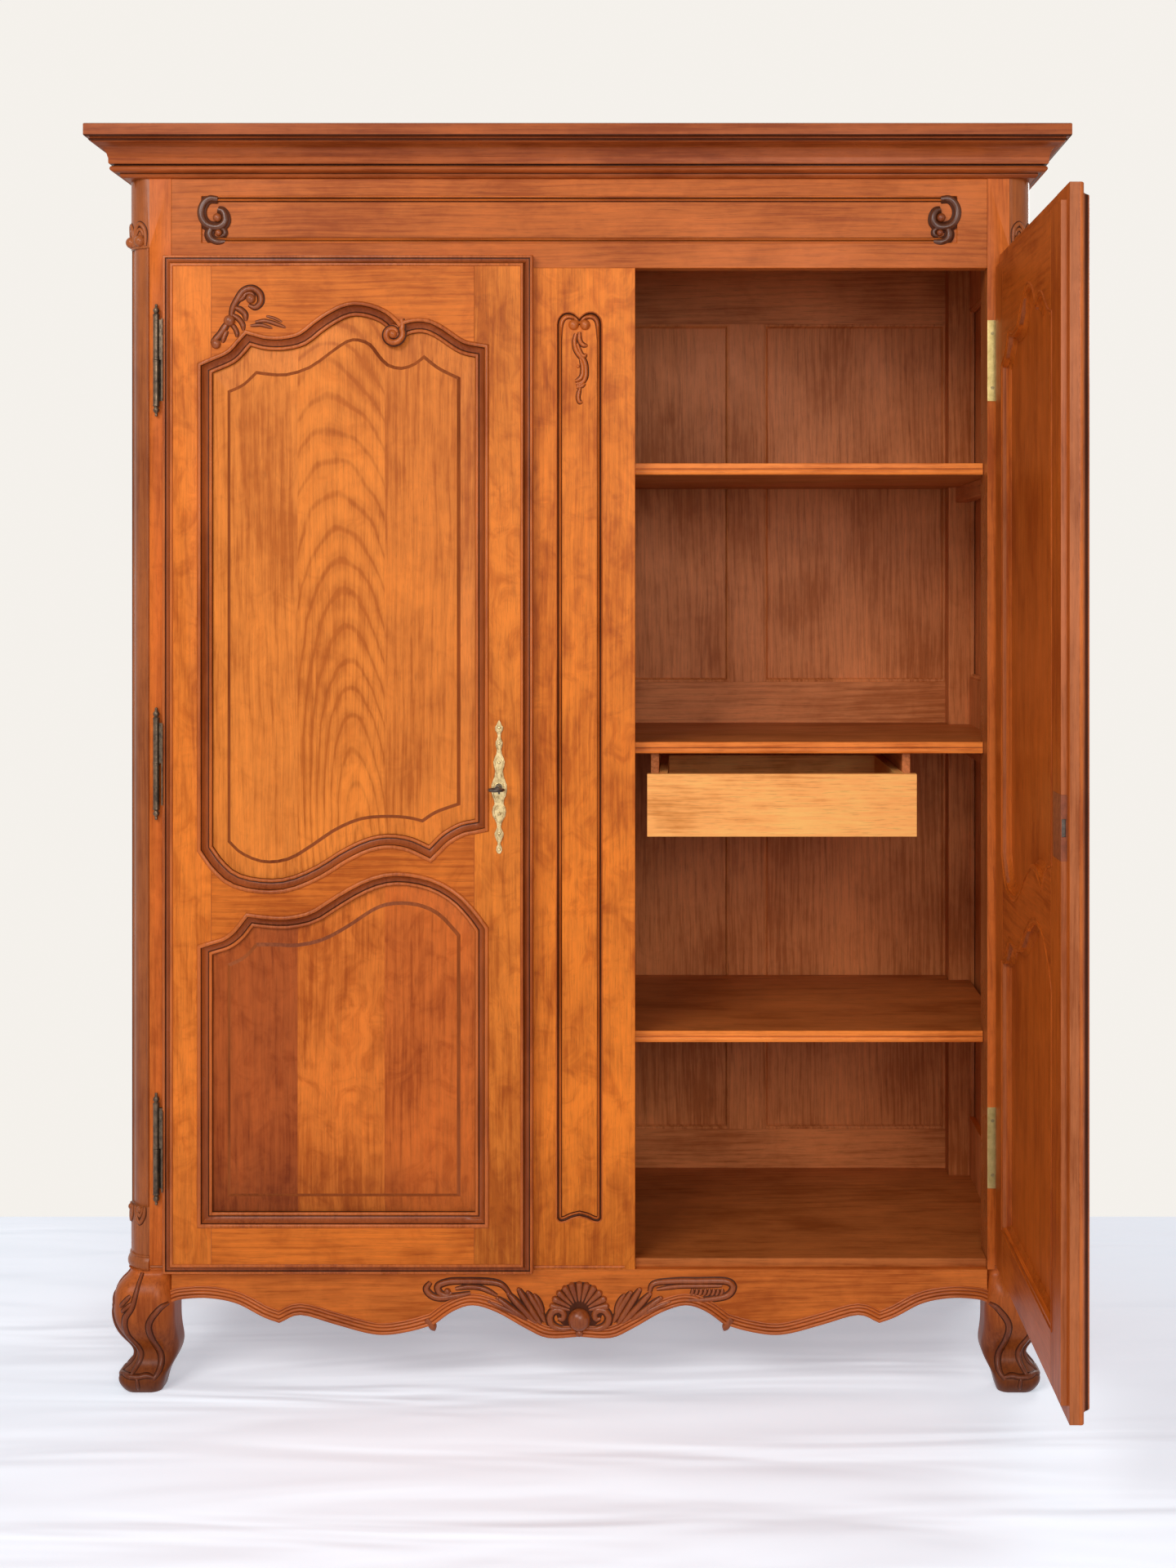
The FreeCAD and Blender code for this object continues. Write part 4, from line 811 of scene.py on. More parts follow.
# Carved scroll, leaf sprig and volute on each door's upper panel moulding, in millimetres
VOLUTE_PLACE = (304.2, 1746.2)
VOLUTE_TAIL = [(290.5, 1771), (288.6, 1760)]
VOLUTE_CURL = (16.6, 7, math.radians(150), 2.05 * math.pi)
VOLUTE_WIDTH = 4.8
VOLUTE_BALL = (6.6, 2, 0.85)
DISC_RADIUS = 0.0168
DISC_TIP = 0.0158
DISC_DEPTH = 0.012
SPRIG_BALLS = ((537, 1804, 7.8, 2, 0.85), (572, 1768, 9.4, 2, 0.8), (594, 1730, 7.8, 1, 0.8))
SPRIG = (
    (4.6, ((570, 1772), (567, 1788), (559, 1803), (549, 1817), (535, 1821), (523, 1813), (521, 1799),
           (530, 1790), (541, 1794))),
    (3.2, ((558, 1800), (550, 1806), (545, 1812), (536, 1813), (530, 1806))),
    (4.0, ((563, 1790), (554, 1786), (547, 1779), (545, 1768))),
    (3.4, ((568, 1778), (558, 1772), (551, 1763), (549, 1752))),
    (3.0, ((572, 1766), (564, 1757), (560, 1748), (560, 1741))),
    (4.6, ((573, 1768), (580, 1757), (587, 1746), (595, 1736), (592, 1726))),
    (3.4, ((576, 1752), (581, 1742), (584, 1732))),
    (2.6, ((589, 1742), (598, 1737), (601, 1728))),
    (2.6, ((530, 1766), (514, 1768), (498, 1764), (480, 1757))),
    (2.2, ((538, 1760), (520, 1761), (502, 1756))),
    (1.8, ((512, 1776), (498, 1772), (486, 1766))),
)


def door_carving(side):
    place = on_face(DOOR_FRONT)
    sprig = bmesh.new()
    carve_all(sprig, SPRIG, place, ends=(0.6, 0.4), tall=1.1)
    for row in SPRIG_BALLS:
        ball(sprig, place, *row)
    settle_on_door(side, "door_sprig", sprig, [carved_wood, groove_shade_wood])
    curl = bmesh.new()
    disc_place = place(Vector(VOLUTE_PLACE) * MM, -DISC_DEPTH / 2)
    rod(curl, disc_place, DISC_RADIUS, DISC_DEPTH, segments=32, tip=DISC_TIP)
    points = VOLUTE_TAIL + spiral(VOLUTE_PLACE, *VOLUTE_CURL)
    carved(curl, points, VOLUTE_WIDTH, place, ends=(0.8, 0.6), steps=4)
    ball(curl, place, *VOLUTE_PLACE, *VOLUTE_BALL)
    settle_on_door(side, "door_volute", curl, [moulding_wood["upright"], groove_shade_wood])


for side in SIDES:
    door_frame(side)
    door_mouldings(side)
    door_carving(side)
    for level in outlines:
        fielded_panel(side, level)

# Boards of the case, with eased edges
DRAWER_EASE = 0.0006
CASE_BOARDS = {
    **{"rear_" + side + "_post": cherry["upright"] for side in SIDES},
    **{side + "_side_" + piece: cherry[run]
       for piece, run in (("rails", "deep"), ("panels", "upright"), ("apron", "deep")) for side in SIDES},
    "frieze_rail": frieze_wood, "centre_post": stile_wood["centre_post"], "front_apron": apron_wood,
}
INSIDE_BOARDS = {
    "back_rails": inside_wood["level"], "back_stiles": inside_wood["upright"],
    "back_panels": inside_wood["upright"], "floor_board": shelf_wood, "top_board": inside_wood["level"],
    "lower_shelf": shelf_wood, "middle_shelf": shelf_wood, "upper_shelf": shelf_wood,
    "shelf_cleats": inside_wood["deep"], "drawer_runners": inside_wood["deep"],
    "cornice_back": inside_wood["level"],
}
DRAWER_BOARDS = {"drawer_front": "level", "drawer_back": "level", "drawer_sides": "deep",
                 "drawer_bottom": "level"}


def case_board(node, finish):
    """A case board whose faces inside the cupboard keep the inside finish."""
    lined = node.startswith("rear_") or node.endswith(("_rails", "_panels"))
    shape = ease(merged_copy(node), BOARD_EASE)
    face_outward(shape)
    for face in shape.faces if lined else []:
        normal = face.normal
        inward = normal.x * face.calc_center_median().x < 0 and abs(normal.x) > FACING
        face.material_index = int(inward or normal.y < -FACING)
    settle(node + "_eased", shape, [finish, inside_wood["upright"] if lined else finish], stands_for=[node])


for node, finish in CASE_BOARDS.items():
    case_board(node, finish)
for node, finish in INSIDE_BOARDS.items():
    eased_board(node, finish, "carcass", "inside_wood")
for node, run in DRAWER_BOARDS.items():
    eased_board(node, drawer_wood[run], "drawer", "drawer_wood", DRAWER_EASE)

# Cornice moulding, carried round the front and both sides
cornice_path = [Vector((-HALF_WIDTH, REAR)), Vector((-HALF_WIDTH, FACE)), Vector((HALF_WIDTH, FACE)),
                Vector((HALF_WIDTH, REAR))]
cornice = carry(bmesh.new(), cornice_path, cornice_section, in_plan(CASE_TOP), tones=cornice_tones)
settle("cornice_moulding", cornice, [cornice_wood, cove_shade_wood["level"], groove_shade_wood],
       stands_for=["cornice_front", "cornice_left", "cornice_right"], crease=45)

# Beads round the panels of the back and of the sides, inside and outside
BACK_FACE = 0.259
SIDE_INNER = 0.714
SIDE_OUTER = 0.744
SIDE_FRONT = -0.21
BACK_ROWS = ((0.292, 1.06), (1.15, 1.836))
BACK_COLUMNS = ((-0.675, -0.3275), (-0.2605, 0.2605), (0.3275, 0.675))
SIDE_ROWS = ((0.315, 1.05), (1.16, 1.857))
back_beads = bmesh.new()
for low, high in BACK_ROWS:
    for left, right in BACK_COLUMNS:
        carry(back_beads, rectangle(left, right, low, high), case_bead_section, on_face(BACK_FACE), True)
settle("back_panel_beads", back_beads, [inside_wood["upright"]], slot="inside_wood")
for side, sign in SIGNS.items():
    for name, finish, slot, face, way in (("outer", moulding_wood["upright"], "case_wood", SIDE_OUTER, 1),
                                          ("inner", inside_wood["upright"], "inside_wood", SIDE_INNER, -1)):
        beads = bmesh.new()
        for low, high in SIDE_ROWS:
            carry(beads, rectangle(SIDE_FRONT, -SIDE_FRONT, low, high), case_bead_section,
                  lambda point, up: Vector((sign * (face + way * up), point.x, point.y)), True)
        settle(side + "_side_" + name + "_beads", beads, [finish], slot=slot)

# Moulded front edges of the shelves
SHELF_FRONT = -0.24
SHELF_TOPS = {"lower": 0.588, "middle": 1.072, "upper": 1.539}
SHELF_END = 0.6735
for level, top in SHELF_TOPS.items():
    edge = carry(bmesh.new(), [Vector((-SHELF_END, top)), Vector((SHELF_END, top))], shelf_edge_section,
                 on_face(SHELF_FRONT))
    settle(level + "_shelf_edge", edge, [shelf_edge_wood], slot="inside_wood")

# Front corner posts, made on the right: flat strip, round column, beads, caps, drops and foot ring
COLUMN_AXIS = Vector((0.711, -0.246))
COLUMN_RADIUS = 0.039
SHAFT_SPAN = (0.306, 1.893)
column_ring_section = scaled((
    (-4, 199), (0.6, 200.4), (3.6, 203.4), (5.4, 208.4), (5.4, 213.4), (3.8, 218), (1.6, 220.4), (1.2, 222.4),
    (2.2, 224.2), (1.6, 226), (-4, 227)))
CAP_TURNS = (math.radians(26), math.radians(66))
CAP_STRANDS = (
    (3.4, ((-10.6, 1896), (-11, 1914), (-8, 1926), (0, 1933), (8, 1926), (11, 1914), (10.6, 1896))),
    (2.6, ((-7, 1913), (-5, 1920), (0, 1924), (5, 1920), (7, 1913))),
    (3.2, ((-10, 306), (-8, 291), (0, 279), (8, 291), (10, 306))),
    (2.4, ((-5.6, 305), (-4, 297), (0, 290), (4, 297), (5.6, 305))),
)
CAP_BALLS = ((1904.5, 9.6), (301, 5.4))
BEAD_PLACES = (Vector((0.7146, -0.2803)), Vector((0.7453, -0.2496)))
BEAD_RADIUS = 0.002


def on_column(point, up):
    """A place on the round column: along its curve from the front, up, and out."""
    turn = point.x / COLUMN_RADIUS
    reach = COLUMN_RADIUS + up
    return Vector((COLUMN_AXIS.x + reach * math.sin(turn), COLUMN_AXIS.y - reach * math.cos(turn), point.y))


BASE_LINE = 207.5
BASE_LINE_WIDTH = 2.4
POST_LINE = ((687, BASE_LINE), (709, BASE_LINE))
STRIP_FACING = 0.99
ARC_STEPS = 12


def corner_post(side):
    node = "front_" + side + "_post"
    post = merged_copy(node, flat=False)
    # The flat strip takes the lighter finish and the round column the darker one, which is partly painted
    # shade.
    for face in post.faces:
        strip = face.normal.y < -STRIP_FACING and abs(face.calc_center_median().x) < COLUMN_AXIS.x
        face.material_index = int(not strip)
    settle(node + "_column", post, [post_strip_wood, column_tone_and_shade_wood], stands_for=[node], crease=30)
    trim = bmesh.new()
    arc = [COLUMN_AXIS + COLUMN_RADIUS * Vector((math.sin(turn), -math.cos(turn)))
           for turn in (QUARTER * step / ARC_STEPS for step in range(ARC_STEPS + 1))]
    carry(trim, arc + [Vector((HALF_WIDTH, SIDE_FRONT - MM))], column_ring_section, in_plan())
    for turn in CAP_TURNS:
        shift = COLUMN_RADIUS * turn / MM
        carve_all(trim, CAP_STRANDS, on_column, start=(shift, 0), ends=(0.6, 0.6))
        for height, radius in CAP_BALLS:
            ball(trim, on_column, shift, height, radius)
    for place in BEAD_PLACES:
        rod(trim, (*place, sum(SHAFT_SPAN) / 2), BEAD_RADIUS, SHAFT_SPAN[1] - SHAFT_SPAN[0], Matrix(), 12)
    strand(trim, POST_LINE, BASE_LINE_WIDTH, on_face(FACE), ends=(1, 1))
    settle(side + "_column_trim", on_side(trim, side), [column_tone_and_shade_wood, groove_shade_wood])


for side in SIDES:
    corner_post(side)

# Frieze: sunk panel bead and a dark scroll at each end, in millimetres in from the end and up from the middle
FRIEZE_MIDDLE = 1939.5
FRIEZE_END = 628
FRIEZE_LINE_END = 0.602
FRIEZE_LINES = ((1.9778, -1), (1.9012, 1))
FRIEZE_SCROLL = (
    (6.4, ((30, 34), (17, 35), (8, 29), (2.5, 18), (2.5, 6), (8, -5), (18, -11.5), (32, -12), (41, -5),
           (42, 5), (38, 14), (30, 17))),
    (5.8, ((19, -13), (15.5, -24), (20, -33), (30, -37), (42, -36))),
    (3.4, ((26, -17), (33, -14.5), (40, -17), (41, -24), (34, -28))),
)
FRIEZE_BALLS = ((29.5, 3, 7.2), (31.5, -22, 5.4))
CARVING_SINK = 0.002
lines = bmesh.new()
for height, way in FRIEZE_LINES:
    line = [Vector((end * way * FRIEZE_LINE_END, height)) for end in (-1, 1)]
    carry(lines, line, frieze_bead_section, on_face(FACE), tones=bead_tones)
settle("frieze_bead", lines, trim_woods["level"])
for side in SIDES:
    scroll = bmesh.new()
    place = on_face(FACE + CARVING_SINK)
    carve_all(scroll, FRIEZE_SCROLL, place, start=(FRIEZE_END, FRIEZE_MIDDLE), way=-1, ends=(0.8, 0.6),
              tall=0.95)
    for u, v, radius in FRIEZE_BALLS:
        ball(scroll, place, FRIEZE_END - u, FRIEZE_MIDDLE + v, radius, 3, 0.9, tone=2)
    settle(side + "_frieze_scroll", on_side(scroll, side), [scroll_wood, groove_shade_wood, carved_wood])

# Centre post: sunk panel with a double-arched head and a shaped foot, two balls and a husk, in millimetres
POST_HEAD = ((38, 1766), (35.6, 1776), (28, 1784.6), (18.6, 1787), (9, 1784.4), (0, 1777))
POST_FOOT = ((0, 290), (12, 287), (24, 281.6), (33, 281.4), (38, 287))
POST_RIM = 39.8
POST_HEAD_TOP = 1789.6
POST_FOOT_BOTTOM = 277.6
SPANDREL_FACE = FACE - 0.0001
RECESS_FLOOR = FACE + 0.004
HUSK = (
    (2.5, ((-5.7, 1751), (-8.1, 1739), (-6.3, 1726), (0.3, 1715), (7.6, 1706.6), (10.6, 1694.5), (10, 1679),
           (4, 1669), (-4.5, 1664))),
    (2.2, ((0.3, 1754), (0.3, 1741), (5.2, 1733), (13.6, 1730.7))),
    (2.0, ((-3.3, 1734), (2.8, 1718), (8.2, 1714), (11.8, 1718))),
    (2.2, ((1.5, 1710), (5.2, 1697), (4.6, 1682.5), (-0.9, 1675), (-7.5, 1673))),
    (1.9, ((-6.3, 1668), (1.5, 1669.6), (8.2, 1674.4))),
    (1.9, ((-5, 1662), (2.8, 1664), (10, 1669))),
    (2.1, ((1.5, 1662), (-0.9, 1653), (-2, 1645), (0.3, 1638), (5.2, 1638))),
)
HUSK_FULLNESS = 1.45
HUSKS = 3
HEAD_CURLS = (
    (3.0, ((-30.6, 1740), (-30.4, 1764), (-26, 1775.6), (-16.5, 1779.4), (-6.4, 1775.4), (-2.6, 1767))),
)
HEAD_BALL = (9.4, 1765.7, 8.8)
HUSK_BALL = (-2, 1697, 3)
CENTRE_LINE = ((-75, BASE_LINE), (75, BASE_LINE))


def whole(half):
    """A curve from right to left, from its right half."""
    row = smooth_run([Vector(point) * MM for point in half], 16)
    return row + [Vector((-point.x, point.y)) for point in reversed(row[:-1])]


head = whole(POST_HEAD)
foot = [Vector((-point.x, point.y)) for point in whole(tuple(reversed(POST_FOOT)))]
floor = on_face(RECESS_FLOOR)
post_panel = bmesh.new()
carry(post_panel, foot + head, post_bead_section, on_face(FACE), True, tones=bead_tones)
for sign in SIGNS.values():
    carve_all(post_panel, HEAD_CURLS, floor, way=-sign, ends=(0.4, 0.8), tall=1.3, tone=HUSKS, bed=GROOVE_SHADE)
    ball(post_panel, floor, sign * HEAD_BALL[0], *HEAD_BALL[1:], squash=0.95, tone=HUSKS)
carve_all(post_panel, HUSK, floor, HUSK_FULLNESS, ends=(0.6, 0.4), tall=1.2, tone=HUSKS, bed=GROOVE_SHADE)
ball(post_panel, floor, *HUSK_BALL, tone=HUSKS)
strand(post_panel, CENTRE_LINE, BASE_LINE_WIDTH, on_face(FACE), ends=(1, 1), tone=HUSKS)
settle("centre_post_panel", post_panel, trim_woods["upright"] + [husk_wood])
spandrels = bmesh.new()
for rim, curve, start, end in ((POST_RIM, head, POST_HEAD_TOP, POST_HEAD[0][1]),
                               (-POST_RIM, foot, POST_FOOT_BOTTOM, POST_FOOT[-1][1])):
    ends = [Vector(point) * MM for point in ((rim, start), (rim, end), (-rim, end), (-rim, start))]
    add(spandrels, prism(ends[:2] + curve + ends[2:], SPANDREL_FACE, RECESS_FLOOR + MM))
settle("centre_post_spandrels", spandrels, [stile_wood["centre_post"]])

# Apron: reeded lip, shell with its ball and curls, acanthus sprays and end scrolls, in millimetres
FAN_PLACE = (0, 133)
FAN_RIBS = 11
FAN_REACH = (9, 51)
FAN_START = 12
FAN_SWEEP = 156
RIB_ROOT = 1.4
RIB_GAIN = 5.2
RIB_ROUNDING = (0.84, 0.163)
LEAST_RIB = 0.0004
CARVING_FULLNESS = 1.35
APRON_CURL = (
    (5.4, ((-14, 106), (-30, 105), (-44, 111), (-49, 123), (-43, 134), (-32, 136), (-25, 129), (-28, 121),
           (-35, 122))),
)
APRON_BALLS = ((0, 142, 41, 0, 0.06, 1), (0, 121, 18.5, 4, 0.8), (0, 99, 6.6, 3, 0.9), (-218, 167, 5.6))
LEAF_TIP_OUT = 0.5
ACANTHUS = (
    (2.8, ((-60, 128), (-65, 146), (-74, 161))), (3.6, ((-56.5, 116), (-69, 140), (-85, 165))),
    (3.8, ((-63.6, 113), (-81, 140), (-100, 170))), (3.8, ((-71, 114), (-93, 137), (-117, 163))),
    (3.6, ((-85, 119), (-109, 136), (-135, 156))), (3.2, ((-99, 126), (-123, 138), (-149, 150))),
)
LEFT_END = (
    (3.4, ((-113, 160), (-127, 177), (-148, 183), (-187, 184), (-215, 183), (-233, 176), (-231, 165),
           (-219, 160), (-211, 165))),
    (3.4, ((-246, 182), (-253, 171), (-244, 160), (-229, 156), (-205, 159), (-180, 164))),
    (2.6, ((-205, 171), (-180, 174.5), (-158, 171), (-136, 160))),
)
RIGHT_END = (
    (3.4, ((116, 166), (124, 180), (160, 184), (194, 184), (240, 184), (254, 176), (250, 164), (236, 157),
           (205, 153), (176, 152))),
    (2.4, ((128, 170), (160, 175), (195, 176), (236, 176))),
    *((1.9, ((x, 160), (x + 3, 165), (x + 3.6, 171))) for x in range(184, 240, 7)),
)
DROP_TAB = ((6.5, ((-253, 121), (-245, 112), (-239, 101))),)
apron_edge = joined([smooth_run([Vector((x * POST_EDGE, z * BASE_TOP)) for x, z in stretch], STEPS)
                     for stretch in apron_shares])
apron_path = [Vector((-point.x, point.y)) for point in apron_edge] + list(reversed(apron_edge))[1:]
settle("apron_lip", carry(bmesh.new(), apron_path, apron_lip_section, on_face(FACE), tones=apron_lip_tones),
       trim_woods["level"], crease=60)
carving = bmesh.new()
place = on_face(FACE)
shares = [step / 14 for step in range(15)]
sizes = []
for share in shares:
    closing = min(max(share - RIB_ROUNDING[0], 0) / RIB_ROUNDING[1], 1)
    sizes.append(max((RIB_ROOT + RIB_GAIN * share) * MM * math.sqrt(1 - closing ** 2), LEAST_RIB))
for rib in range(FAN_RIBS):
    angle = math.radians(FAN_START + FAN_SWEEP * rib / (FAN_RIBS - 1))
    aim = Vector((math.cos(angle), math.sin(angle)))
    path = [(Vector(FAN_PLACE) + aim * (FAN_REACH[0] + (FAN_REACH[1] - FAN_REACH[0]) * share)) * MM
            for share in shares]
    carry(carving, path, strand_section, place, sizes=sizes)
for row in APRON_BALLS:
    ball(carving, place, *row)
for sign in SIGNS.values():
    carve_all(carving, APRON_CURL, place, way=-sign, ends=(0.6, 0.5))
    for width, points in ACANTHUS:
        carve_all(carving, [(width, points)], place, CARVING_FULLNESS, way=-sign, ends=(0.4, 0.6))
        ball(carving, place, -sign * points[-1][0], points[-1][1], width, LEAF_TIP_OUT)
    carve_all(carving, DROP_TAB, on_face(FACE + CARVING_SINK), way=-sign, ends=(1, 0.2), bed=None)
carve_all(carving, LEFT_END + RIGHT_END, place, CARVING_FULLNESS, ends=(0.6, 0.6))
settle("apron_carving", carving, [carved_wood, groove_shade_wood])

# Front feet with carved ridges, drawn on the left foot and laid on its surface, in millimetres
FOOT_RIDGES = (
    (4.2, ((-723, 197), (-733, 151), (-746, 128), (-745, 101), (-731, 73), (-728, 53), (-741, 27))),
    (4.2, ((-677, 151), (-690, 144), (-707, 119), (-704, 88), (-694, 58), (-694, 38), (-702, 25))),
    (3.0, ((-737, 166), (-746, 157), (-755, 147))),
    (3.0, ((-734, 154), (-743, 147), (-752, 139))),
    (3.2, ((-757, 33), (-742, 30), (-727, 29), (-713, 31), (-699, 28))),
    (2.6, ((-729, 28), (-727, 18), (-727, 7))),
)
RAY_START = -1.0
foot_surface = BVHTree.FromBMesh(merged_copy("front_left_foot", flat=False))


def on_foot(point, up):
    """A place on the left foot's front, seen straight on, and out from its surface."""
    spot, normal = foot_surface.ray_cast(Vector((point.x, RAY_START, point.y)), Vector((0, 1, 0)))[:2]
    if spot is None:
        spot, normal = foot_surface.find_nearest(Vector((point.x, FACE, point.y)))[:2]
    return spot + normal * up


ACROSS_CORNER = Matrix(((0, 1, 0, -HALF_WIDTH - FACE), (1, 0, 0, HALF_WIDTH + FACE), (0, 0, 1, 0),
                        (0, 0, 0, 1)))
for side in SIDES:
    ridges = bmesh.new()
    carve_all(ridges, FOOT_RIDGES, on_foot, ends=(0.5, 0.5), tall=0.9)
    flank = ridges.copy()
    bmesh.ops.transform(flank, matrix=ACROSS_CORNER, verts=flank.verts)
    add(ridges, flank)
    settle(side + "_foot_ridges", on_side(ridges, side, "left"), [ridge_wood, groove_shade_wood])
    node = "front_" + side + "_foot"
    settle(node + "_polished", merged_copy(node, flat=False), [foot_wood], stands_for=[node])

# Hinges, made on the right: turned barrels with finials, brass leaves and their screws
HINGE_HEIGHTS = (1.706, 1.04, 0.404)
LEAF_HALF = 0.067
LEAF_PROUD = 0.0003
LEAF_EASE = 0.0004
LEAF_START = 0.0008
SCREW_SINK = 0.00055
SCREW_DROPS = (-0.045, 0.045)
SCREW_RADIUS = 0.0036
SCREW_TIP = 0.0028
SCREW_HEIGHT = 0.0012
DOOR_SCREW_Y = -0.2985
FRAME_SCREW_X = 0.6835
WEB_DROP = 0.074
# Corners of the leaves and of the webs that join them to the barrels, on the plan
FRAME_WEB = ((0.6958, -0.291), (0.7002, -0.2832))
DOOR_WEB = ((0.6832, -0.2918), (0.698, -0.2902))
DOOR_LEAF = ((0.6831, -0.3094), (DOOR_OUTER + LEAF_PROUD, -0.2874))
FRAME_LEAF = ((POST_EDGE, FACE - LEAF_PROUD), (0.6975, FACE + 0.0018))
BARREL, LEAF, SCREW = 0, 1, 2
barrel_profile = scaled((
    (0, 0.25), (5.2, 0.25), (5.5, 0.9), (5.5, 2.6), (5.1, 3.4), (5.1, 36), (5.5, 36.8), (5.5, 38.6),
    (5.1, 39.4), (5.1, 72.6), (5.5, 73.6), (5.5, 75.4), (4.2, 76.6), (3.4, 77.6), (4, 78.8), (5.2, 81.4),
    (4.8, 84.4), (2.6, 87), (2, 88.4), (2.7, 90.4), (2, 92.4), (0, 93)))


def screw(shape, place, aim):
    """A round screw head facing along the aim."""
    turn = Vector((0, 0, 1)).rotation_difference(Vector(aim)).to_matrix().to_4x4()
    rod(shape, place, SCREW_RADIUS, SCREW_HEIGHT, turn, 20, SCREW_TIP, SCREW)


def hinge_halves(side):
    frame_half = bmesh.new()
    door_half = bmesh.new()
    for height in HINGE_HEIGHTS:
        middle = Vector((HINGE_AXIS.x, HINGE_AXIS.y, height))
        low, high = height - LEAF_HALF, height + LEAF_HALF
        turned(door_half, barrel_profile, middle, BARREL)
        turned(frame_half, [(radius, -rise) for radius, rise in barrel_profile], middle, BARREL)
        block(frame_half, FRAME_WEB, height - WEB_DROP, height - LEAF_START, tone=BARREL)
        block(door_half, DOOR_WEB, height + LEAF_START, high, tone=BARREL)
        block(door_half, DOOR_LEAF, low, high, LEAF_EASE, BARREL)
        for drop in SCREW_DROPS:
            screw(door_half, (DOOR_LEAF[1][0], DOOR_SCREW_Y, height + drop), (1, 0, 0))
        if height == HINGE_HEIGHTS[1]:
            continue
        block(frame_half, FRAME_LEAF, low, high, LEAF_EASE, LEAF if side == "right" else BARREL)
        for drop in SCREW_DROPS:
            screw(frame_half, (FRAME_SCREW_X, FRAME_LEAF[0][1] + SCREW_SINK, height + drop), (0, -1, 0))
    finishes = [barrel_bronze, leaf_brass, screw_brass]
    settle(side + "_frame_hinges", on_side(frame_half, side), finishes, slot="brass",
           stands_for=[side + "_hinge_frame_halves"])
    settle_on_door(side, "door_hinges", door_half, finishes, slot="brass",
                   stands_for=[side + "_hinge_door_halves"])


# Escutcheon plates: half outline and chased scrolls, in millimetres out from the middle and up from the foot
PLATE_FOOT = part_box("left_escutcheon")[0].z
PLATE_MIDDLE = 0.13
KEYHOLE = Vector((PLATE_MIDDLE, 1.004))
PLATE_THICKNESS = 0.0022
PLATE_EASE = 0.0006
RIM_RADIUS = 0.0062
RIM_HALF = 0.0014
HOLE_RADIUS = 0.0042
HOLE_DEPTH = 0.0008
SLOT_HALF = 0.0014
SLOT_DROP = 0.012
SLOT_DEPTH = 0.0004
plate_half = (
    (0, 0), (3, 1.5), (5, 6), (4.6, 11), (2.6, 15), (2.2, 19), (4.2, 23), (7, 28), (7.6, 34), (5.4, 39),
    (3.4, 44), (4, 50), (7, 56), (10.5, 62), (11.6, 70), (10, 77), (7.4, 82), (8.4, 88), (11.5, 95),
    (13.2, 104), (12.6, 113), (10, 121), (7.4, 128), (6.6, 136), (8.6, 143), (9.6, 151), (7.4, 158),
    (4.6, 164), (3.6, 171), (5.6, 177), (6, 183), (3.8, 188), (2.4, 193), (3.4, 198), (6.4, 203),
    (6.8, 208), (4, 212), (2.4, 216), (0, 220))
PLATE_SCROLLS = (
    (1.4, ((1.6, 19), (5, 29), (3, 40), (1.5, 48))), (1.5, ((2, 51), (7.6, 62), (8.6, 72), (4.6, 80))),
    (1.6, ((5, 84), (9.6, 96), (10.4, 106), (7.4, 117))), (1.4, ((3, 124), (4.6, 134), (7, 148), (3, 160))),
    (1.2, ((1.4, 166), (3.8, 179), (1.4, 191))), (1.2, ((1, 196), (4.6, 205), (1.4, 214))),
)
PLATE_BALLS = ((7, 2.8), (33, 2.4), (66, 2.8), (150, 2.6), (181, 2.2), (207, 2.8))


def escutcheon(side):
    foot = Vector((PLATE_MIDDLE, PLATE_FOOT))
    half = [Vector(point) * MM for point in plate_half]
    outline = [foot + point for point in half] + [foot + Vector((-p.x, p.y)) for p in reversed(half[1:-1])]
    front = DOOR_FRONT - PLATE_THICKNESS
    shape = ease(prism(outline, front, DOOR_FRONT), PLATE_EASE, angle=60, segments=1)
    place = on_face(front)
    start = foot / MM
    for sign in SIGNS.values():
        carve_all(shape, PLATE_SCROLLS, place, start=start, way=sign, ends=(0.6, 0.4), tall=0.8, bed=None)
    for height, radius in PLATE_BALLS:
        ball(shape, place, start.x, start.y + height, radius, squash=0.7)
    turns = [step * math.pi / 12 for step in range(24)]
    rim = [KEYHOLE + RIM_RADIUS * Vector((math.cos(turn), math.sin(turn))) for turn in turns]
    carry(shape, rim, [(out * RIM_HALF, up * RIM_HALF) for out, up in strand_section], place, True)
    rod(shape, place(KEYHOLE, 0), HOLE_RADIUS, HOLE_DEPTH, tone=1)
    block(shape, ((KEYHOLE.x - SLOT_HALF, front - SLOT_DEPTH), (KEYHOLE.x + SLOT_HALF, front)),
          KEYHOLE.y - SLOT_DROP, KEYHOLE.y, tone=1)
    settle_on_door(side, "chased_escutcheon", shape, [gilt_brass, dark_iron], slot="brass",
                   stands_for=[side + "_escutcheon"], crease=50)


def dress(node, finish):
    """Give a node its finish."""
    slots = nodes[node].data.materials
    slots.clear()
    slots.append(finish)


for side in SIDES:
    hinge_halves(side)
    escutcheon(side)
    dress(side + "_lock_case", browned_iron)
    dress(side + "_bolt", dark_iron)
dress("key", dark_iron)
COLLARS = ((0.3185, 0.0046, 0.003), (0.3545, 0.0048, 0.004))
COLLAR_EASE = 0.0007
collar = bmesh.new()
for reach, radius, depth in COLLARS:
    rod(collar, (-PLATE_MIDDLE, -reach, KEYHOLE.y), radius, depth)
settle("key_collars", ease(collar, COLLAR_EASE), [dark_iron], "key", "iron")


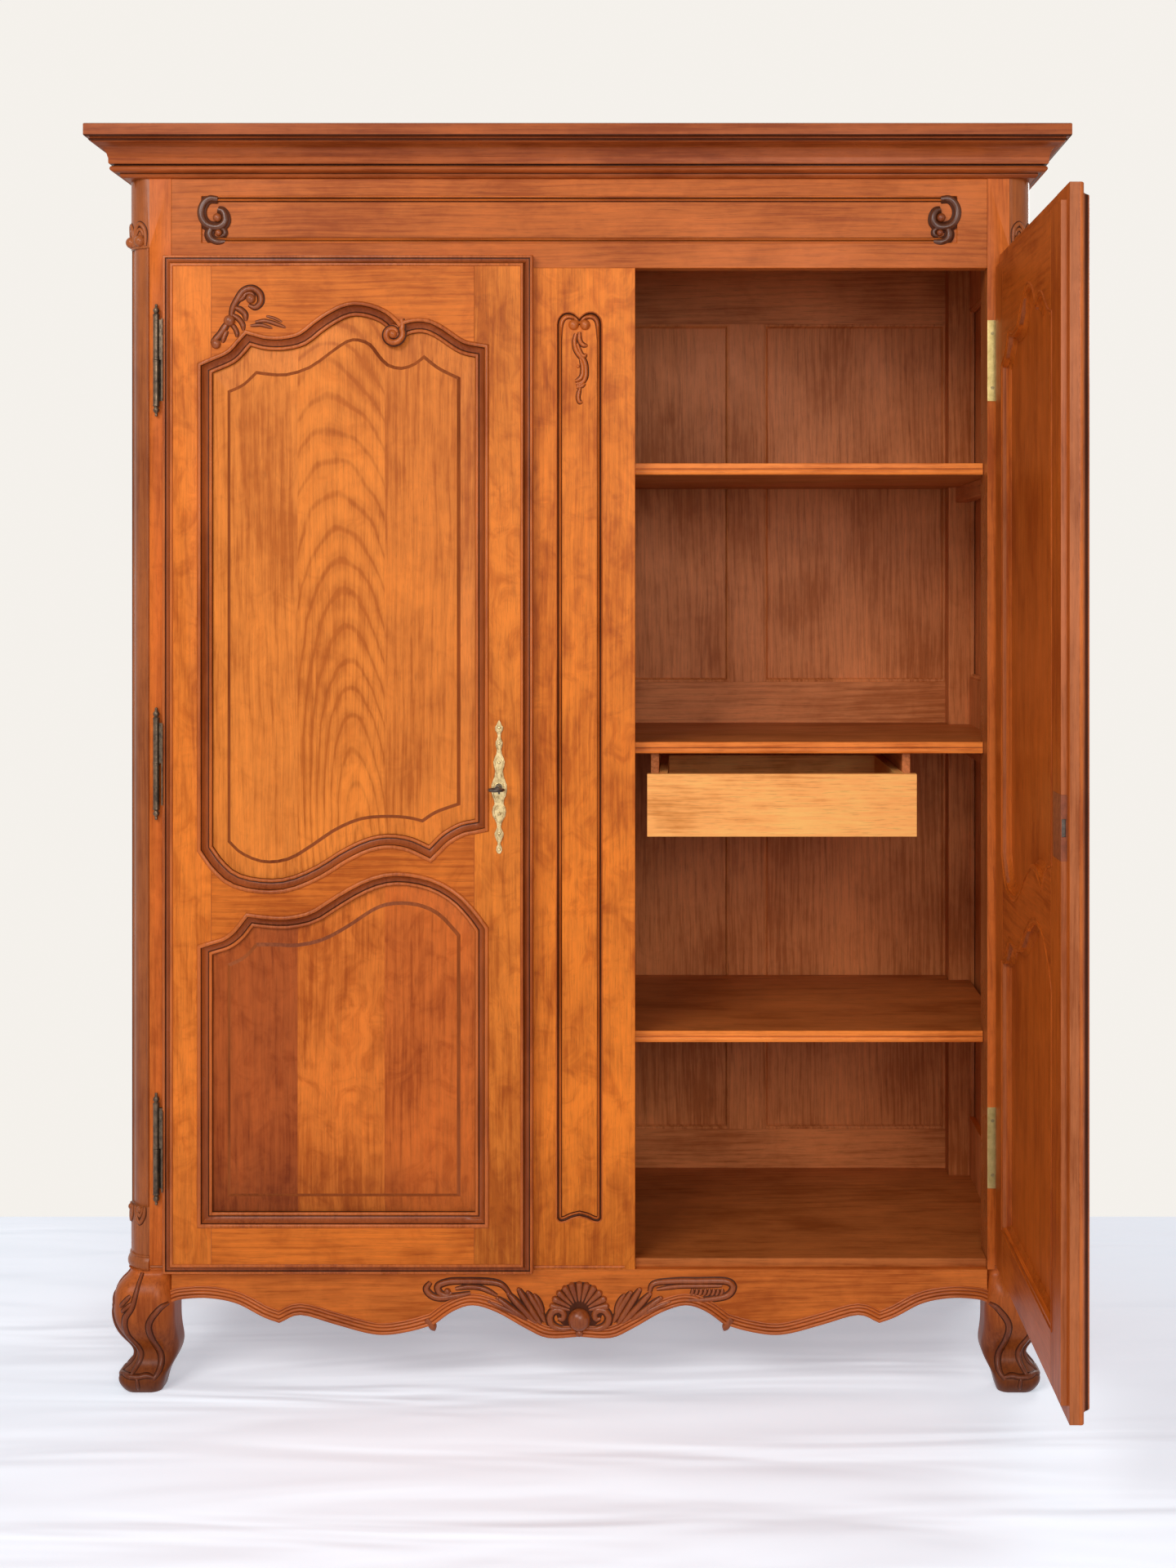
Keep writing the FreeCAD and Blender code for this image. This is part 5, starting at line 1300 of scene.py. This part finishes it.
# Floor cloth, backdrop, lamps and camera
def seen_rays(tree):
    """One for rays that show the background: from the eye, off a shiny face or through a clear one."""
    rays = tree.nodes.new("ShaderNodeLightPath").outputs
    seen = rays["Is Camera Ray"]
    for kind in ("Is Glossy Ray", "Is Transmission Ray"):
        either = tree.nodes.new("ShaderNodeMath")
        either.operation = "MAXIMUM"
        seen = fill(either, {0: seen, 1: rays[kind]}).outputs["Value"]
    return seen


def stage_sheet(name, near, far, colour, glow, folds):
    """A floor that glows a little where it is seen, so that it shows as pale as it is."""
    shape = bmesh.new()
    shape.faces.new([shape.verts.new((x, y, 0)) for x, y in (
        (-FLOOR_SPAN, near), (FLOOR_SPAN, near), (FLOOR_SPAN, far), (-FLOOR_SPAN, far))])
    mesh = bpy.data.meshes.new(name)
    shape.to_mesh(mesh)
    shape.free()
    sheet = bpy.data.objects.new(name, mesh)
    scene.collection.objects.link(sheet)
    material, tree, shader = blank_finish(name)
    fill(shader, {"Base Color": (*colour, 1), "Roughness": 0.95, "Specular IOR Level": 0,
                  "Emission Color": (*glow, 1), "Emission Strength": seen_rays(tree)})
    if folds:
        creases = noise(laid(object_spot(tree), (0.5, 2.4, 1), (0, 0, 0.12)), 2.2, 1.6, bend=0.8)
        fill(shader, {"Normal": dented(creases, folds, 0.06)})
    mesh.materials.append(material)


FLOOR_SPAN = 6.0
CLOTH_END = 0.664
BACKDROP = (0.91, 0.88, 0.835)
stage_sheet("floor_cloth", -FLOOR_SPAN, CLOTH_END, (0.93, 0.94, 0.97), (0.33, 0.37, 0.42), 0.6)
stage_sheet("backdrop", CLOTH_END, FLOOR_SPAN, (0, 0, 0), BACKDROP, 0)


def soft_lamp(name, place, aim, size, power):
    light = bpy.data.lights.new(name, "AREA")
    light.shape = "RECTANGLE"
    light.size, light.size_y = size
    light.energy = power
    lamp = bpy.data.objects.new(name, light)
    lamp.location = place
    lamp.rotation_euler = (Vector(aim) - Vector(place)).to_track_quat("-Z", "Y").to_euler()
    scene.collection.objects.link(lamp)


soft_lamp("key_softbox", (-1.9, -3.9, 3.3), (-0.1, 0, 1.0), (2.2, 1.6), 84)
soft_lamp("front_softbox", (0.7, -4.6, 2.0), (0.2, 0, 0.9), (1.6, 1.6), 62)
soft_lamp("rear_softbox", (2.2, 3.6, 2.9), (0, 0.3, 1.0), (2.2, 1.6), 50)
world = bpy.data.worlds.new("studio")
scene.world = world
world.use_nodes = True
sky = world.node_tree
ambient = fill(sky.nodes["Background"], {"Color": (0.97, 0.97, 1.0, 1), "Strength": 0.27})
wall = fill(sky.nodes.new("ShaderNodeBackground"), {"Color": (*BACKDROP, 1)})
chosen = fill(sky.nodes.new("ShaderNodeMixShader"),
              {0: seen_rays(sky), 1: ambient.outputs[0], 2: wall.outputs[0]})
fill(sky.nodes["World Output"], {"Surface": chosen.outputs[0]})

camera = bpy.data.cameras.new("camera")
camera.sensor_fit = "VERTICAL"
camera.sensor_height = 36
camera.lens = 47.2
camera.shift_x = -0.06
camera.shift_y = -0.125
viewer = bpy.data.objects.new("camera", camera)
viewer.location = (0.17, -3.685, 1.33)
viewer.rotation_euler = (math.pi / 2, 0, 0)
scene.collection.objects.link(viewer)
scene.camera = viewer
scene.view_settings.view_transform = "Standard"
